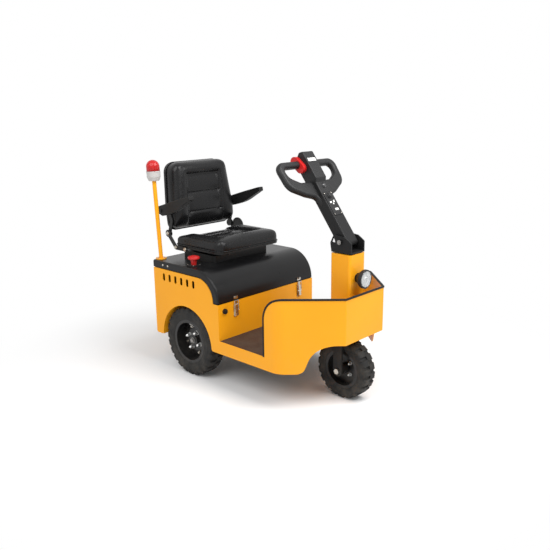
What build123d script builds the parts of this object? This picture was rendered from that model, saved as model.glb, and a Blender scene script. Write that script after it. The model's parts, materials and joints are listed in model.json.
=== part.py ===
from build123d import *
import os
from math import atan2, cos, degrees, radians, sin, tan

# Three-wheel electric tow tractor with a driver's seat and tiller steering.
# Lengths are in millimetres. Stations x run forward from the rear panel, y to the left, z up from the ground.

# Body shell
BODY_WIDTH = 796.0
SHEET = 4.0
SKIRT_Z = 206.0
SKIRT_CORNER_R = 12.0
FLOOR_TOP_Z = 279.0
FLOOR_SHEET = 4.0
MAT_THICK = 4.0
BOX_FRONT_X = 569.0

# Front cowl: flat sides, angled cheeks and a narrow nose panel
COWL_REAR_X = 914.0
COWL_SEAM_X = 964.0
COWL_BEND_X = 1011.0
COWL_BEND_R = 110.0
COWL_CORNER_R = 125.0
COWL_TOP_Z = 606.0
NOSE_X = 1270.0
NOSE_WIDTH = 328.0
NOSE_BEND_R = 10.0
NOSE_BOTTOM_Z = 361.0
CHEEK_FOOT_X = 1105.6
CHEEK_TOP_X = 1152.3
CHEEK_FOOT_R = 35.0
CHEEK_TOP_R = 118.0

# Lid over the battery box
LID_TOP_Z = 660.0
LID_OVERHANG = 1.0
LID_FRONT_R = 168.0
LID_LIP = 40.0
LID_GAP = 5.0
LID_SHEET = 4.0
LID_EDGE_R = 10.0
HINGE_R = 6.0
HINGE_PIN_R = 3.0
HINGE_BACK = 9.0
HINGE_LENGTH = 70.0
HINGE_INSET = 148.0
RUN_GAP = 0.3

# Vent slots in the side panels
VENT_COUNT = 6
VENT_FIRST_X = 95.0
VENT_PITCH = 53.6
VENT_Z = 568.0
VENT_WIDTH = 21.0
VENT_HEIGHT = 46.0

# Rear wheels, axle and drive
REAR_AXLE_X = 283.5
REAR_TYRE_R = 205.0
REAR_TYRE_WIDTH = 105.0
REAR_FACE_INSET = 11.0
ARCH_GAP = 14.0
ARCH_LIP = 3.0
ARCH_SHEET = 3.0
ARCH_END_R = 14.0
WELL_GAP = 20.0
REAR_SEAT_R = 120.0
REAR_BEAD_HALF = 42.0
REAR_HUB_R = 34.0
REAR_CAP = 16.0
REAR_WEB_Y = 5.0
REAR_DISH = 16.0
REAR_LUGS = 24
AXLE_TUBE_R = 30.0
AXLE_STUB_R = 18.0
AXLE_NOTCH_GAP = 14.0
HUB_GAP = 7.0
RIM_WALL = 7.0
RIM_FLANGE = 12.0
RIM_LIP = 5.0
RIM_WEB = 6.0
RIM_DISH_R = 68.0
LUG_DEPTH = 9.0
LUG_VALLEY = 2.0
LUG_CHAMFER = 9.0
LUG_TOP_SHARE = 0.66
LUG_FOOT_SHARE = 0.80
LUG_WIDTH_SHARE = 0.97
BULGE_SHARE = 0.45
CROWN_SHARE = 0.80
SHOULDER_SHARE = 0.20
DIFF_R = 78.0
DIFF_WIDTH = 130.0
MOTOR_R = 70.0
MOTOR_LENGTH = 150.0
MOTOR_END_R = 14.0

# Frame rails, kicked up over the rear axle
RAIL_WIDTH = 40.0
RAIL_HEIGHT = 59.0
RAIL_WELL_GAP = 27.0
SADDLE_HEIGHT = 6.0
SADDLE_LENGTH = 60.0
KICK_SET_BACK = 69.0
KICK_RUN = 26.0
CROSS_WIDTH = 40.0
RISER_X = 951.0

# Battery block on its shelf
SHELF_THICK = 4.0
BATTERY_LENGTH = 470.0
BATTERY_SIDE_GAP = 82.0
BATTERY_HEIGHT = 262.0
BATTERY_REAR_GAP = 16.0

# Front wheel, fork and steering column
STEER_X = 1150.0
FRONT_TYRE_R = 164.0
FRONT_TYRE_WIDTH = 100.0
FRONT_SEAT_R = 98.0
FRONT_BEAD_HALF = 38.0
FRONT_HUB_R = 30.0
FRONT_HUB_GAP = 6.0
FRONT_LUGS = 19
FRONT_AXLE_R = 10.0
FORK_GAP = 16.0
FORK_LEG_THICK = 12.0
FORK_LEG_WIDTH = 56.0
FORK_CROWN_THICK = 14.0
FORK_CROWN_GAP = 10.0
FORK_CROWN_LENGTH = 110.0
STEM_R = 24.0
COLLAR_R = 36.0
COLUMN_LENGTH = 128.0
COLUMN_WIDTH = 132.0
COLUMN_TOP_Z = 804.0
COLUMN_WALL = 5.0
COLUMN_CORNER_R = 14.0
COLUMN_CAP = 10.0
TURN_GAP = 5.0
NUT_R = 16.0
NUT_THICK = 10.0

# Tiller bracket, arm and handle; the arm leans back from the upright
PIVOT_X = 1144.0
PIVOT_RISE = 62.0
PIVOT_PIN_R = 9.0
TILLER_LEAN = 36.4
EAR_GAP = 7.0
EAR_THICK = 8.0
EAR_NOSE_R = 10.0
EAR_BROW = 30.0
EAR_BROW_RISE = 26.0
EAR_BROW_R = 14.0
EAR_HORN_INSET = 14.0
EAR_HORN_RISE = 34.0
EAR_TAIL = 8.0
EAR_TAIL_DROP = 10.0
EAR_TAIL_R = 20.0
EAR_WINDOW_INSET = 2.0
EAR_WINDOW_LENGTH = 24.0
EAR_WINDOW_HEIGHT = 30.0
EAR_WINDOW_DROP = 6.0
EAR_WINDOW_R = 2.0
BRACKET_LENGTH = 128.0
BRACKET_BASE = 8.0
ARM_WIDTH = 86.0
ARM_BACK = 35.0
ARM_FRONT = 31.0
ARM_FOOT = 36.0
ARM_EDGE_R = 6.0
HEAD_LOW = 280.0
HEAD_TOP = 531.0
HEAD_WIDTH = 84.0
HEAD_BACK = 34.0
HEAD_FRONT = 46.0
HEAD_STEP = 60.0
HEAD_STEP_RUN = 20.0
HEAD_BACK_R = 30.0
HEAD_BROW = 26.0
HEAD_BROW_R = 14.0
HEAD_NOSE_DROP = 10.0
HEAD_NOSE_R = 10.0
HEAD_EDGE_R = 4.0
GRIP_R = 19.0
GRIP_EDGE_R = 15.0
GRIP_HALF_WIDTH = 216.0
GRIP_LOW_HALF_WIDTH = 204.0
GRIP_TOP = 474.0
GRIP_SET_BACK = 9.0
GRIP_CORNER_R = 50.0
GRIP_HEEL = 340.0
GRIP_HEEL_R = 70.0
WEB_HALF_WIDTH = 120.0
WEB_LOW = 286.0
WEB_R = 80.0
WEB_NECK = 15.0
WEB_NECK_DROP = 20.0
WEB_NECK_R = 40.0
WEB_FOOT = 222.0
WINDOW_LOW = 364.0
WINDOW_HEEL = 400.0
WINDOW_HEEL_R = 44.0
WINDOW_WEB_HALF_WIDTH = 120.0
WINDOW_CORNER_R = 24.0
WINDOW_INNER_R = 6.0
PADDLE_THICK = 24.0
PADDLE_LOBE_R = 26.0
PADDLE_REACH = 26.0
PADDLE_TURN = -15.0
PANEL_START = 138.0
PANEL_LENGTH = 138.0
PANEL_WIDTH = 70.0
PANEL_THICK = 3.0

# Headlamp on the column
LAMP_X = 1270.0
LAMP_Z = 679.0
LAMP_R = 50.0
LAMP_DEPTH = 46.0
LAMP_RIM = 7.0
LAMP_BACK_R = 27.5
LAMP_BACK_EDGE_R = 12.0
LAMP_SHOULDER = 16.0
LAMP_SHOULDER_R = 10.0
LAMP_LIP_R = 2.0
LENS_BULGE = 6.0
LAMP_STEM_R = 11.0
LAMP_FOOT_THICK = 5.0
LAMP_FOOT_R = 24.0

# Seat on its base and rails
SEAT_REAR_X = 30.0
SEAT_FRONT_X = 440.0
SEAT_BASE_REAR_X = 64.0
SEAT_BASE_FRONT_X = 352.0
SEAT_BASE_INSET = 33.0
SEAT_BASE_HEIGHT = 40.0
SEAT_BASE_R = 22.0
SEAT_RAIL_INSET = 72.0
SEAT_RAIL_WIDTH = 34.0
SEAT_RAIL_HEIGHT = 10.0
SLIDER_LENGTH = 230.0
SLIDER_HEIGHT = 12.0
PAN_THICK = 11.0
PAN_INSET = 3.0
CUSHION_HEIGHT = 56.0
CUSHION_CORNER_R = 60.0
CUSHION_EDGE_R = 22.0
SOFT_GAP = 0.3

# Backrest, leaning back from the upright, on recliner pivots
BACK_LEAN = 7.9
BACK_X = 12.0
BACK_RISE = 93.9
BACK_HEIGHT = 408.0
BACK_TAPER = 56.0
BACK_STRAIGHT = 135.0
BACK_LOW_R = 45.0
BACK_SIDE_R = 120.0
BACK_TOP_R = 65.0
BACK_SHELL_THICK = 18.0
BACK_PAD_THICK = 84.0
BACK_ROLL_R = 82.0
BACK_EDGE_R = 28.0
RECLINE_X = -25.0
RECLINE_RISE = 72.7
RECLINE_PIN_R = 8.0
PLATE_THICK = 6.0
PLATE_GAP = 6.0
PLATE_WIDTH = 26.0
KNUCKLE_R = 22.0
BOLT_FRONT_X = 135.0
BOLT_REAR_X = 46.0
BOLT_DROP = 5.3
RECLINER_COVER_R = 50.0
LEVER_R = 5.0
LEVER_LENGTH = 60.0
ARM_PIVOT_X = -28.0
ARM_PIVOT_RISE = 143.0
ARM_PIN_R = 9.0
ARMREST_WIDTH = 37.0
ARMREST_EDGE_R = 3.0
ARMREST_HEEL = 36.0
ARMREST_HEEL_R = 10.0
ARMREST_HEEL_RISE = 24.0
ARMREST_DROP = 30.0
ARMREST_SPREAD = 12.0
ARMREST_BELLY = 128.0
ARMREST_BELLY_RISE = 2.0
ARMREST_BELLY_R = 400.0
ARMREST_LENGTH = 270.0
ARMREST_RISE = 110.0
ARMREST_TIP = 24.0
ARMREST_TIP_SLOPE = 6.0
ARMREST_TIP_R = 5.0
ARMREST_CREST = 72.0
ARMREST_CREST_R = 90.0
ARMREST_PIN_DEPTH = 30.0

# Beacon on its pole, and emergency stop, on the lid
POLE_X = 17.0
POLE_INSET = 46.0
POLE_LEAN = 3.5
POLE_R = 12.0
POLE_LENGTH = 462.0
POLE_FLANGE_R = 32.0
POLE_FLANGE_THICK = 6.0
CUP_LOW_R = 31.0
CUP_R = 40.0
CUP_HEIGHT = 52.0
CUP_FOOT_R = 4.0
CUP_STEP = 23.4
CUP_STEP_R = 12.0
CUP_ARMREST_GAP = 8.0
DOME_R = 39.0
DOME_HEIGHT = 70.0
DOME_TOP_R = 38.0
STOP_X = 302.0
STOP_INSET = 62.0
STOP_BASE = 62.0
STOP_BASE_THICK = 5.0
STOP_NECK_R = 15.0
STOP_NECK_TOP_R = 19.0
STOP_NECK_HEIGHT = 30.0
STOP_HEAD_R = 34.0
STOP_HEAD_HEIGHT = 22.0
STOP_HEAD_SLOPE = 4.0
STOP_HEAD_EDGE_R = 6.0

# Lid latches and key switch on the battery box front
LATCH_INSET = 131.0
LATCH_WIDTH = 30.0
LATCH_DROP = 91.0
LATCH_PLATE = 3.0
LATCH_CORNER_R = 6.0
LATCH_HEIGHT = 74.0
LATCH_LEVER_WIDTH = 18.0
LATCH_LEVER_DEPTH = 13.0
LATCH_LEVER_TIP = 8.0
LATCH_LEVER_R = 4.0
LATCH_WIRE_R = 2.2
LATCH_HOOK_WIDTH = 14.0
LATCH_HOOK_DEPTH = 4.0
LATCH_CLEAR = 6.0
STRIKE_LOW = 6.0
STRIKE_HEIGHT = 18.0
STRIKE_CORNER_R = 4.0
STRIKE_DEPTH = 12.0
KEY_INSET = 46.0
KEY_DROP = 43.0
KEY_R = 15.0
KEY_DEPTH = 12.0

# Rear tow hitch: a two-plate jaw for a drop pin
HITCH_Z = 300.0
HITCH_REACH = 160.0
HITCH_WIDTH = 80.0
HITCH_TIP_R = 32.0
HITCH_PLATE = 12.0
HITCH_JAW = 50.0
HITCH_PIN_R = 13.0
HITCH_PIN_BACK = 120.0
HITCH_BASE = 130.0
HITCH_BASE_THICK = 8.0

# Values that follow from the sizes above
HALF = BODY_WIDTH / 2
INNER = HALF - SHEET
LID_FRONT_X = BOX_FRONT_X + LID_OVERHANG
KICK_X = BOX_FRONT_X - KICK_SET_BACK
FLOOR_Z = FLOOR_TOP_Z - MAT_THICK
RAIL_TOP_Z = FLOOR_Z - FLOOR_SHEET
KICK_Z = REAR_TYRE_R + AXLE_TUBE_R + SADDLE_HEIGHT
SHELF_Z = KICK_Z + RAIL_HEIGHT
PANEL_TOP_Z = LID_TOP_Z - LID_LIP - LID_GAP
LID_FOOT_Z = LID_TOP_Z - LID_FRONT_R
BOX_TOP_Z = LID_FOOT_Z - LID_GAP
PANEL_STEP_X = LID_FRONT_X - LID_LIP - LID_GAP
ARCH_R = REAR_TYRE_R + ARCH_GAP
WELL_R = ARCH_R + ARCH_LIP
REAR_WHEEL_Y = HALF - REAR_FACE_INSET - REAR_TYRE_WIDTH / 2
WELL_Y = REAR_WHEEL_Y - REAR_TYRE_WIDTH / 2 - WELL_GAP
RAIL_Y = WELL_Y - RAIL_WELL_GAP - RAIL_WIDTH / 2
HINGE_Y = HALF - HINGE_INSET
HINGE_Z = PANEL_TOP_Z + LID_GAP / 2
DECK_Z = NOSE_BOTTOM_Z + SHEET
FORK_Y = FRONT_TYRE_WIDTH / 2 + FORK_GAP
CROWN_Z = 2 * FRONT_TYRE_R + FORK_CROWN_GAP
BRACKET_Z = COLUMN_TOP_Z + TURN_GAP
PIVOT_Z = COLUMN_TOP_Z + PIVOT_RISE
EAR_Y = ARM_WIDTH / 2 + EAR_GAP
SEAT_RAIL_Z = LID_TOP_Z + SEAT_BASE_HEIGHT
SLIDER_Z = SEAT_RAIL_Z + SEAT_RAIL_HEIGHT + RUN_GAP
PAN_Z = SLIDER_Z + SLIDER_HEIGHT
CUSHION_Z = PAN_Z + PAN_THICK + SOFT_GAP
BOLT_Z = PAN_Z - BOLT_DROP
RECLINE_Z = PAN_Z + RECLINE_RISE
BACK_Z = PAN_Z + BACK_RISE
ARM_PIVOT_Z = RECLINE_Z + ARM_PIVOT_RISE
POLE_Y = POLE_INSET - HALF
STOP_Y = STOP_INSET - HALF
KEY_Y = KEY_INSET - HALF
KEY_Z = BOX_TOP_Z - KEY_DROP
LATCH_LOW_Z = BOX_TOP_Z - LATCH_DROP
LATCH_TOP_Z = LATCH_LOW_Z + LATCH_HEIGHT
LATCH_Y = HALF - LATCH_INSET
ARMREST_Y = HALF - POLE_INSET - CUP_R - CUP_ARMREST_GAP - ARMREST_WIDTH
LOW_PLATE_Y = ARMREST_Y - PLATE_GAP - PLATE_THICK
BACK_ARM_Y = LOW_PLATE_Y - PLATE_GAP - PLATE_THICK
SEAT_WIDTH = 2 * LOW_PLATE_Y
SEAT_BASE_WIDTH = SEAT_WIDTH - 2 * SEAT_BASE_INSET
SEAT_RAIL_Y = SEAT_BASE_WIDTH / 2 - SEAT_RAIL_INSET
BACK_WIDTH = 2 * BACK_ARM_Y
BACK_TOP_WIDTH = BACK_WIDTH - BACK_TAPER
X_SHIFT = (HITCH_REACH - STEER_X - FRONT_TYRE_R) / 2
TILLER = Plane((PIVOT_X, 0, PIVOT_Z), (0, 1, 0), (cos(radians(TILLER_LEAN)), 0, sin(radians(TILLER_LEAN))))
BACK = Plane((BACK_X, 0, BACK_Z), (0, 1, 0), (cos(radians(BACK_LEAN)), 0, sin(radians(BACK_LEAN))))
POLE = Pos(POLE_X, POLE_Y, LID_TOP_Z) * Rot(0, -POLE_LEAN, 0)


def rounded(*corners):
    """Closed face through corners (u, v, r), with a tangent arc of radius r at each corner."""
    stations = []
    for index, (u, v, radius) in enumerate(corners):
        here = Vector(u, v)
        back = (Vector(*corners[index - 1][:2]) - here).normalized()
        ahead = (Vector(*corners[(index + 1) % len(corners)][:2]) - here).normalized()
        if radius == 0:
            stations.append((here, None, here))
            continue
        half_angle = radians(back.get_angle(ahead)) / 2
        reach = radius / tan(half_angle)
        middle = here + (back + ahead).normalized() * (radius / sin(half_angle) - radius)
        stations.append((here + back * reach, middle, here + ahead * reach))
    edges = []
    for index, (start, middle, stop) in enumerate(stations):
        if middle is not None:
            edges.append(ThreePointArc(start, middle, stop))
        ahead = stations[(index + 1) % len(stations)][0]
        if (ahead - stop).length > 0.001:
            edges.append(Line(stop, ahead))
    return make_face(edges)


def across(face, y_low, y_high):
    """Solid of an XZ outline between two stations of y."""
    plane = Plane((0, y_low, 0), x_dir=(1, 0, 0), z_dir=(0, -1, 0))
    return extrude(plane * face, y_high - y_low, dir=(0, 1, 0))


def forward(face, x_low, x_high):
    """Solid of a YZ outline between two stations of x."""
    return extrude(Plane.YZ.offset(x_low) * face, x_high - x_low, dir=(1, 0, 0))


def upward(face, z_low, z_high):
    """Solid of an XY outline between two heights."""
    return extrude(Plane.XY.offset(z_low) * face, z_high - z_low, dir=(0, 0, 1))


def block(x_low, x_high, y_low, y_high, z_low, z_high):
    """Box between low and high corners."""
    box = Box(x_high - x_low, y_high - y_low, z_high - z_low, align=(Align.MIN, Align.MIN, Align.MIN))
    return Pos(x_low, y_low, z_low) * box


def disc(x, z, radius):
    """Circle on an XZ outline."""
    return Pos(x, z) * Circle(radius)


def bar(x_from, z_from, x_to, z_to, width):
    """Round-ended bar on an XZ outline."""
    run = Vector(x_to - x_from, z_to - z_from)
    turn = degrees(atan2(run.Y, run.X))
    middle = Pos((x_from + x_to) / 2, (z_from + z_to) / 2)
    return middle * Rot(0, 0, turn) * SlotCenterToCenter(run.length, width)


def mirrored(shape):
    """The same piece on the other side of the vehicle."""
    return mirror(shape, about=Plane.XZ)


def pair(name, right):
    """Right-hand piece and its mirror image as two nodes."""
    return {name + "_right": right, name + "_left": mirrored(right)}


def side_outline():
    """Side view of the sheet-metal body: box side, skirt, cowl side and cheek, with the wheel arch cut."""
    lid_r = LID_FRONT_R - LID_LIP - LID_GAP
    face = rounded(
        (0, SKIRT_Z, SKIRT_CORNER_R),
        (CHEEK_FOOT_X, SKIRT_Z, CHEEK_FOOT_R),
        (CHEEK_TOP_X, NOSE_BOTTOM_Z, CHEEK_TOP_R),
        (NOSE_X + SHEET, NOSE_BOTTOM_Z, 0),
        (NOSE_X + SHEET, COWL_TOP_Z, 0),
        (COWL_REAR_X, COWL_TOP_Z, COWL_CORNER_R),
        (COWL_REAR_X, FLOOR_TOP_Z, 0),
        (BOX_FRONT_X, FLOOR_TOP_Z, 0),
        (BOX_FRONT_X, BOX_TOP_Z, 0),
        (PANEL_STEP_X, BOX_TOP_Z, 0),
        (PANEL_STEP_X, PANEL_TOP_Z, lid_r),
        (0, PANEL_TOP_Z, 0),
    )
    face -= disc(REAR_AXLE_X, REAR_TYRE_R, ARCH_R)
    arch_half = (ARCH_R ** 2 - (SKIRT_Z - REAR_TYRE_R) ** 2) ** 0.5
    for end_x in (REAR_AXLE_X - arch_half, REAR_AXLE_X + arch_half):
        corner = face.vertices().sort_by_distance((end_x, SKIRT_Z, 0))[0]
        face = fillet(corner, ARCH_END_R)
    return face


def side_panel():
    """Right side panel with arch and vent slots, up to the seam with the front cowl."""
    panel = across(side_outline(), -HALF, -INNER)
    panel -= block(COWL_SEAM_X, NOSE_X + SHEET, -BODY_WIDTH, BODY_WIDTH, 0, COLUMN_TOP_Z)
    slot = Rot(0, 0, 90) * SlotOverall(VENT_HEIGHT, VENT_WIDTH)
    for index in range(VENT_COUNT):
        place = Pos(VENT_FIRST_X + index * VENT_PITCH, VENT_Z)
        panel -= across(place * slot, -HALF, -INNER)
    return panel


def cowl_plan(inset):
    """Plan of the cowl, set in from its outer face, from the seam forward."""
    slope = (HALF - NOSE_WIDTH / 2) / (NOSE_X - COWL_BEND_X)
    shift = inset * ((1 + slope ** 2) ** 0.5 - 1) / slope
    side = HALF - inset
    nose = NOSE_WIDTH / 2 - inset * ((1 + slope ** 2) ** 0.5 - slope)
    bend_x = COWL_BEND_X - shift
    bend_r = COWL_BEND_R - inset
    nose_r = max(NOSE_BEND_R - inset, SHEET / 4)
    return rounded(
        (RISER_X, -side, 0),
        (bend_x, -side, bend_r),
        (NOSE_X - inset, -nose, nose_r),
        (NOSE_X - inset, nose, nose_r),
        (bend_x, side, bend_r),
        (RISER_X, side, 0),
    )


def cowl_front():
    """Bent front sheet: two cheeks and the nose panel."""
    sheet = upward(cowl_plan(0), SKIRT_Z, COWL_TOP_Z) - upward(cowl_plan(SHEET), SKIRT_Z, COWL_TOP_Z)
    sheet &= across(side_outline(), -HALF, HALF)
    return sheet - block(0, COWL_SEAM_X, -HALF, HALF, 0, COLUMN_TOP_Z)


def cowl_deck():
    """Riser at the front of the footwell and the deck over the front wheel."""
    deck = upward(cowl_plan(SHEET), NOSE_BOTTOM_Z, DECK_Z)
    riser = block(RISER_X, RISER_X + SHEET, -INNER, INNER, RAIL_TOP_Z - RAIL_HEIGHT, NOSE_BOTTOM_Z)
    hole = upward(Pos(STEER_X, 0) * Circle(STEM_R + TURN_GAP), NOSE_BOTTOM_Z, DECK_Z)
    return deck + riser - hole


def rear_panel():
    """Flat rear panel between the sides."""
    return block(0, SHEET, -INNER, INNER, SKIRT_Z, PANEL_TOP_Z)


def box_front_panel():
    """Front panel of the battery box."""
    return block(BOX_FRONT_X - SHEET, BOX_FRONT_X, -INNER, INNER, FLOOR_Z, BOX_TOP_Z)


def floor_plate():
    """Footwell floor between the sides."""
    return block(KICK_X + KICK_RUN, RISER_X, -INNER, INNER, RAIL_TOP_Z, FLOOR_Z)


def floor_mat():
    """Rubber mat on the footwell floor."""
    return block(BOX_FRONT_X, RISER_X, -INNER, INNER, FLOOR_Z, FLOOR_TOP_Z)


def chassis_frame():
    """Two kicked-up rails joined by cross members."""
    low_z = RAIL_TOP_Z - RAIL_HEIGHT
    side = rounded(
        (SHEET, KICK_Z, 0),
        (KICK_X, KICK_Z, 0),
        (KICK_X + KICK_RUN, low_z, 0),
        (RISER_X, low_z, 0),
        (RISER_X, RAIL_TOP_Z, 0),
        (KICK_X + KICK_RUN, RAIL_TOP_Z, 0),
        (KICK_X, SHELF_Z, 0),
        (SHEET, SHELF_Z, 0),
    )
    rail = across(side, -RAIL_Y - RAIL_WIDTH / 2, -RAIL_Y + RAIL_WIDTH / 2)
    frame = rail + mirrored(rail)
    members = (
        (SHEET, KICK_Z, SHELF_Z),
        (BOX_FRONT_X, low_z, RAIL_TOP_Z),
        (RISER_X - CROSS_WIDTH, low_z, RAIL_TOP_Z),
    )
    for x_low, z_low, z_high in members:
        frame += block(x_low, x_low + CROSS_WIDTH, -RAIL_Y, RAIL_Y, z_low, z_high)
    return frame


def battery_shelf():
    """Shelf plate over the rails."""
    return block(SHEET, KICK_X, -WELL_Y, WELL_Y, SHELF_Z, SHELF_Z + SHELF_THICK)


def battery_pack():
    """Battery as one block on the shelf."""
    low_x = SHEET + BATTERY_REAR_GAP
    low_z = SHELF_Z + SHELF_THICK
    half = WELL_Y - BATTERY_SIDE_GAP
    return block(low_x, low_x + BATTERY_LENGTH, -half, half, low_z, low_z + BATTERY_HEIGHT)


def wheel_well():
    """Right inner wing: arched sheet over the tyre and the wall behind it."""
    above = block(0, BOX_FRONT_X, -HALF, 0, SKIRT_Z, LID_TOP_Z)
    arch = disc(REAR_AXLE_X, REAR_TYRE_R, WELL_R + ARCH_SHEET)
    hollow = disc(REAR_AXLE_X, REAR_TYRE_R, WELL_R)
    notch = disc(REAR_AXLE_X, REAR_TYRE_R, AXLE_TUBE_R + AXLE_NOTCH_GAP)
    well = across(arch - notch, -INNER, -WELL_Y) - across(hollow, -INNER, -WELL_Y - ARCH_SHEET)
    return well & above


def rear_axle():
    """Axle tube with differential housing, stub shafts and saddles under the rails."""
    tube_end = REAR_WHEEL_Y - REAR_TYRE_WIDTH / 2 - HUB_GAP
    hub = disc(REAR_AXLE_X, REAR_TYRE_R, AXLE_TUBE_R)
    axle = across(hub, -tube_end, tube_end)
    axle += across(disc(REAR_AXLE_X, REAR_TYRE_R, AXLE_STUB_R), -REAR_WHEEL_Y, REAR_WHEEL_Y)
    bulge = rounded((0, -DIFF_WIDTH / 2, 0), (DIFF_R, -DIFF_WIDTH / 2, DIFF_R / 2),
                    (DIFF_R, DIFF_WIDTH / 2, DIFF_R / 2), (0, DIFF_WIDTH / 2, 0))
    axle += Pos(REAR_AXLE_X, 0, REAR_TYRE_R) * revolve(bulge, Axis.Y)
    for side in (-1, 1):
        axle += block(REAR_AXLE_X - SADDLE_LENGTH / 2, REAR_AXLE_X + SADDLE_LENGTH / 2,
                      side * RAIL_Y - RAIL_WIDTH / 2, side * RAIL_Y + RAIL_WIDTH / 2,
                      REAR_TYRE_R, KICK_Z)
    return axle


def drive_motor():
    """Motor bolted to the front of the differential housing."""
    start = REAR_AXLE_X + DIFF_R
    body = forward(Pos(0, REAR_TYRE_R) * Circle(MOTOR_R), start, start + MOTOR_LENGTH)
    return fillet(body.edges().sort_by(Axis.X)[-1], MOTOR_END_R)


def tow_hitch():
    """Base plate and two horizontal jaw plates with a pin hole."""
    base = block(-HITCH_BASE_THICK, 0, -HITCH_BASE / 2, HITCH_BASE / 2,
                 HITCH_Z - HITCH_BASE / 2, HITCH_Z + HITCH_BASE / 2)
    half = HITCH_WIDTH / 2
    plan = rounded((-HITCH_REACH, -half, HITCH_TIP_R), (-HITCH_REACH, half, HITCH_TIP_R),
                   (-HITCH_BASE_THICK, half, 0), (-HITCH_BASE_THICK, -half, 0))
    plan -= Pos(-HITCH_PIN_BACK, 0) * Circle(HITCH_PIN_R)
    for low_z in (HITCH_Z - HITCH_JAW / 2 - HITCH_PLATE, HITCH_Z + HITCH_JAW / 2):
        base += upward(plan, low_z, low_z + HITCH_PLATE)
    return base


def hood():
    """Lid: pressed top, rolled front and shallow side lips, open below."""
    foot_x = LID_FRONT_X - LID_LIP
    foot_z = LID_TOP_Z - LID_LIP

    def arch(inset):
        return rounded((inset, LID_FOOT_Z - inset, 0), (LID_FRONT_X - inset, LID_FOOT_Z - inset, 0),
                       (LID_FRONT_X - inset, LID_TOP_Z - inset, LID_FRONT_R - inset),
                       (inset, LID_TOP_Z - inset, 0))

    below = rounded((-SHEET, 0, 0), (foot_x, 0, 0), (foot_x, foot_z, LID_FRONT_R - LID_LIP),
                    (-SHEET, foot_z, 0))
    shell = across(arch(0), -HALF, HALF)
    rim = shell.edges().filter_by(lambda edge: abs(edge.center().Y) > HALF - SHEET)
    rim = rim.filter_by(lambda edge: edge.center().Z > LID_FOOT_Z + SHEET and edge.center().X > SHEET)
    shell = fillet(rim, LID_EDGE_R)
    hollow = across(arch(LID_SHEET), -HALF + LID_SHEET, HALF - LID_SHEET)
    hollow += across(below, -HALF, HALF)
    return shell - hollow


def lid_hinges():
    """Hinge leaves and barrels on the rear panel."""
    leaves = None
    for y in (-HINGE_Y, HINGE_Y):
        low = y - HINGE_LENGTH / 2
        leaf = block(-SHEET / 2, 0, low, low + HINGE_LENGTH, HINGE_Z - 4 * HINGE_R, HINGE_Z)
        third = HINGE_LENGTH / 3
        for start in (low, low + 2 * third):
            leaf += across(disc(-HINGE_BACK, HINGE_Z, HINGE_R), start, start + third)
            leaf += block(-HINGE_BACK, 0, start, start + third, HINGE_Z - HINGE_R, HINGE_Z - HINGE_R / 2)
        leaf += across(disc(-HINGE_BACK, HINGE_Z, HINGE_PIN_R), low, low + HINGE_LENGTH)
        leaves = leaf if leaves is None else leaves + leaf
    return leaves


def lid_knuckles():
    """Middle hinge knuckles with straps to the lid."""
    knuckles = None
    third = HINGE_LENGTH / 3
    for y in (-HINGE_Y, HINGE_Y):
        low = y - third / 2 + RUN_GAP
        high = y + third / 2 - RUN_GAP
        ring = across(disc(-HINGE_BACK, HINGE_Z, HINGE_R), low, high)
        strap_z = HINGE_Z + HINGE_R / 2
        ring += block(-HINGE_BACK, 0, low, high, strap_z, HINGE_Z + HINGE_R)
        ring += block(-SHEET / 2, 0, low, high, strap_z, HINGE_Z + 5 * HINGE_R)
        ring -= across(disc(-HINGE_BACK, HINGE_Z, HINGE_PIN_R + RUN_GAP), low, high)
        knuckles = ring if knuckles is None else knuckles + ring
    return knuckles


def steering_column():
    """Hollow column with bearing plates at both ends."""
    outer = RectangleRounded(COLUMN_LENGTH, COLUMN_WIDTH, COLUMN_CORNER_R)
    inner = RectangleRounded(COLUMN_LENGTH - 2 * COLUMN_WALL, COLUMN_WIDTH - 2 * COLUMN_WALL,
                             COLUMN_CORNER_R - COLUMN_WALL)
    place = Pos(STEER_X, 0)
    column = upward(place * outer, DECK_Z, COLUMN_TOP_Z)
    column -= upward(place * inner, DECK_Z + COLUMN_CAP, COLUMN_TOP_Z - COLUMN_CAP)
    return column - upward(place * Circle(STEM_R + RUN_GAP), DECK_Z, COLUMN_TOP_Z)


def steering_fork():
    """Stem, crown and two legs round the front wheel."""
    leg_high = FORK_Y + FORK_LEG_THICK
    leg_side = bar(STEER_X, FRONT_TYRE_R, STEER_X, CROWN_Z - FORK_LEG_WIDTH / 2, FORK_LEG_WIDTH)
    leg_side += Pos(STEER_X, CROWN_Z - FORK_LEG_WIDTH / 4) * Rectangle(FORK_LEG_WIDTH, FORK_LEG_WIDTH / 2)
    leg_side -= disc(STEER_X, FRONT_TYRE_R, FRONT_AXLE_R + RUN_GAP / 2)
    leg = across(leg_side, -leg_high, -FORK_Y)
    crown = Pos(STEER_X, 0) * RectangleRounded(FORK_CROWN_LENGTH, 2 * leg_high, FORK_LEG_THICK)
    fork = upward(crown, CROWN_Z, CROWN_Z + FORK_CROWN_THICK) + leg + mirrored(leg)
    fork += upward(Pos(STEER_X, 0) * Circle(STEM_R), CROWN_Z, BRACKET_Z)
    return fork + upward(Pos(STEER_X, 0) * Circle(COLLAR_R), COLUMN_TOP_Z + RUN_GAP, BRACKET_Z)


def front_axle():
    """Axle bolt through both fork legs, with its nuts."""
    reach = FORK_Y + FORK_LEG_THICK
    axle = across(disc(STEER_X, FRONT_TYRE_R, FRONT_AXLE_R), -reach, reach)
    nut = Pos(STEER_X, FRONT_TYRE_R) * RegularPolygon(NUT_R, 6)
    return axle + across(nut, -reach - NUT_THICK, -reach) + across(nut, reach, reach + NUT_THICK)


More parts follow.
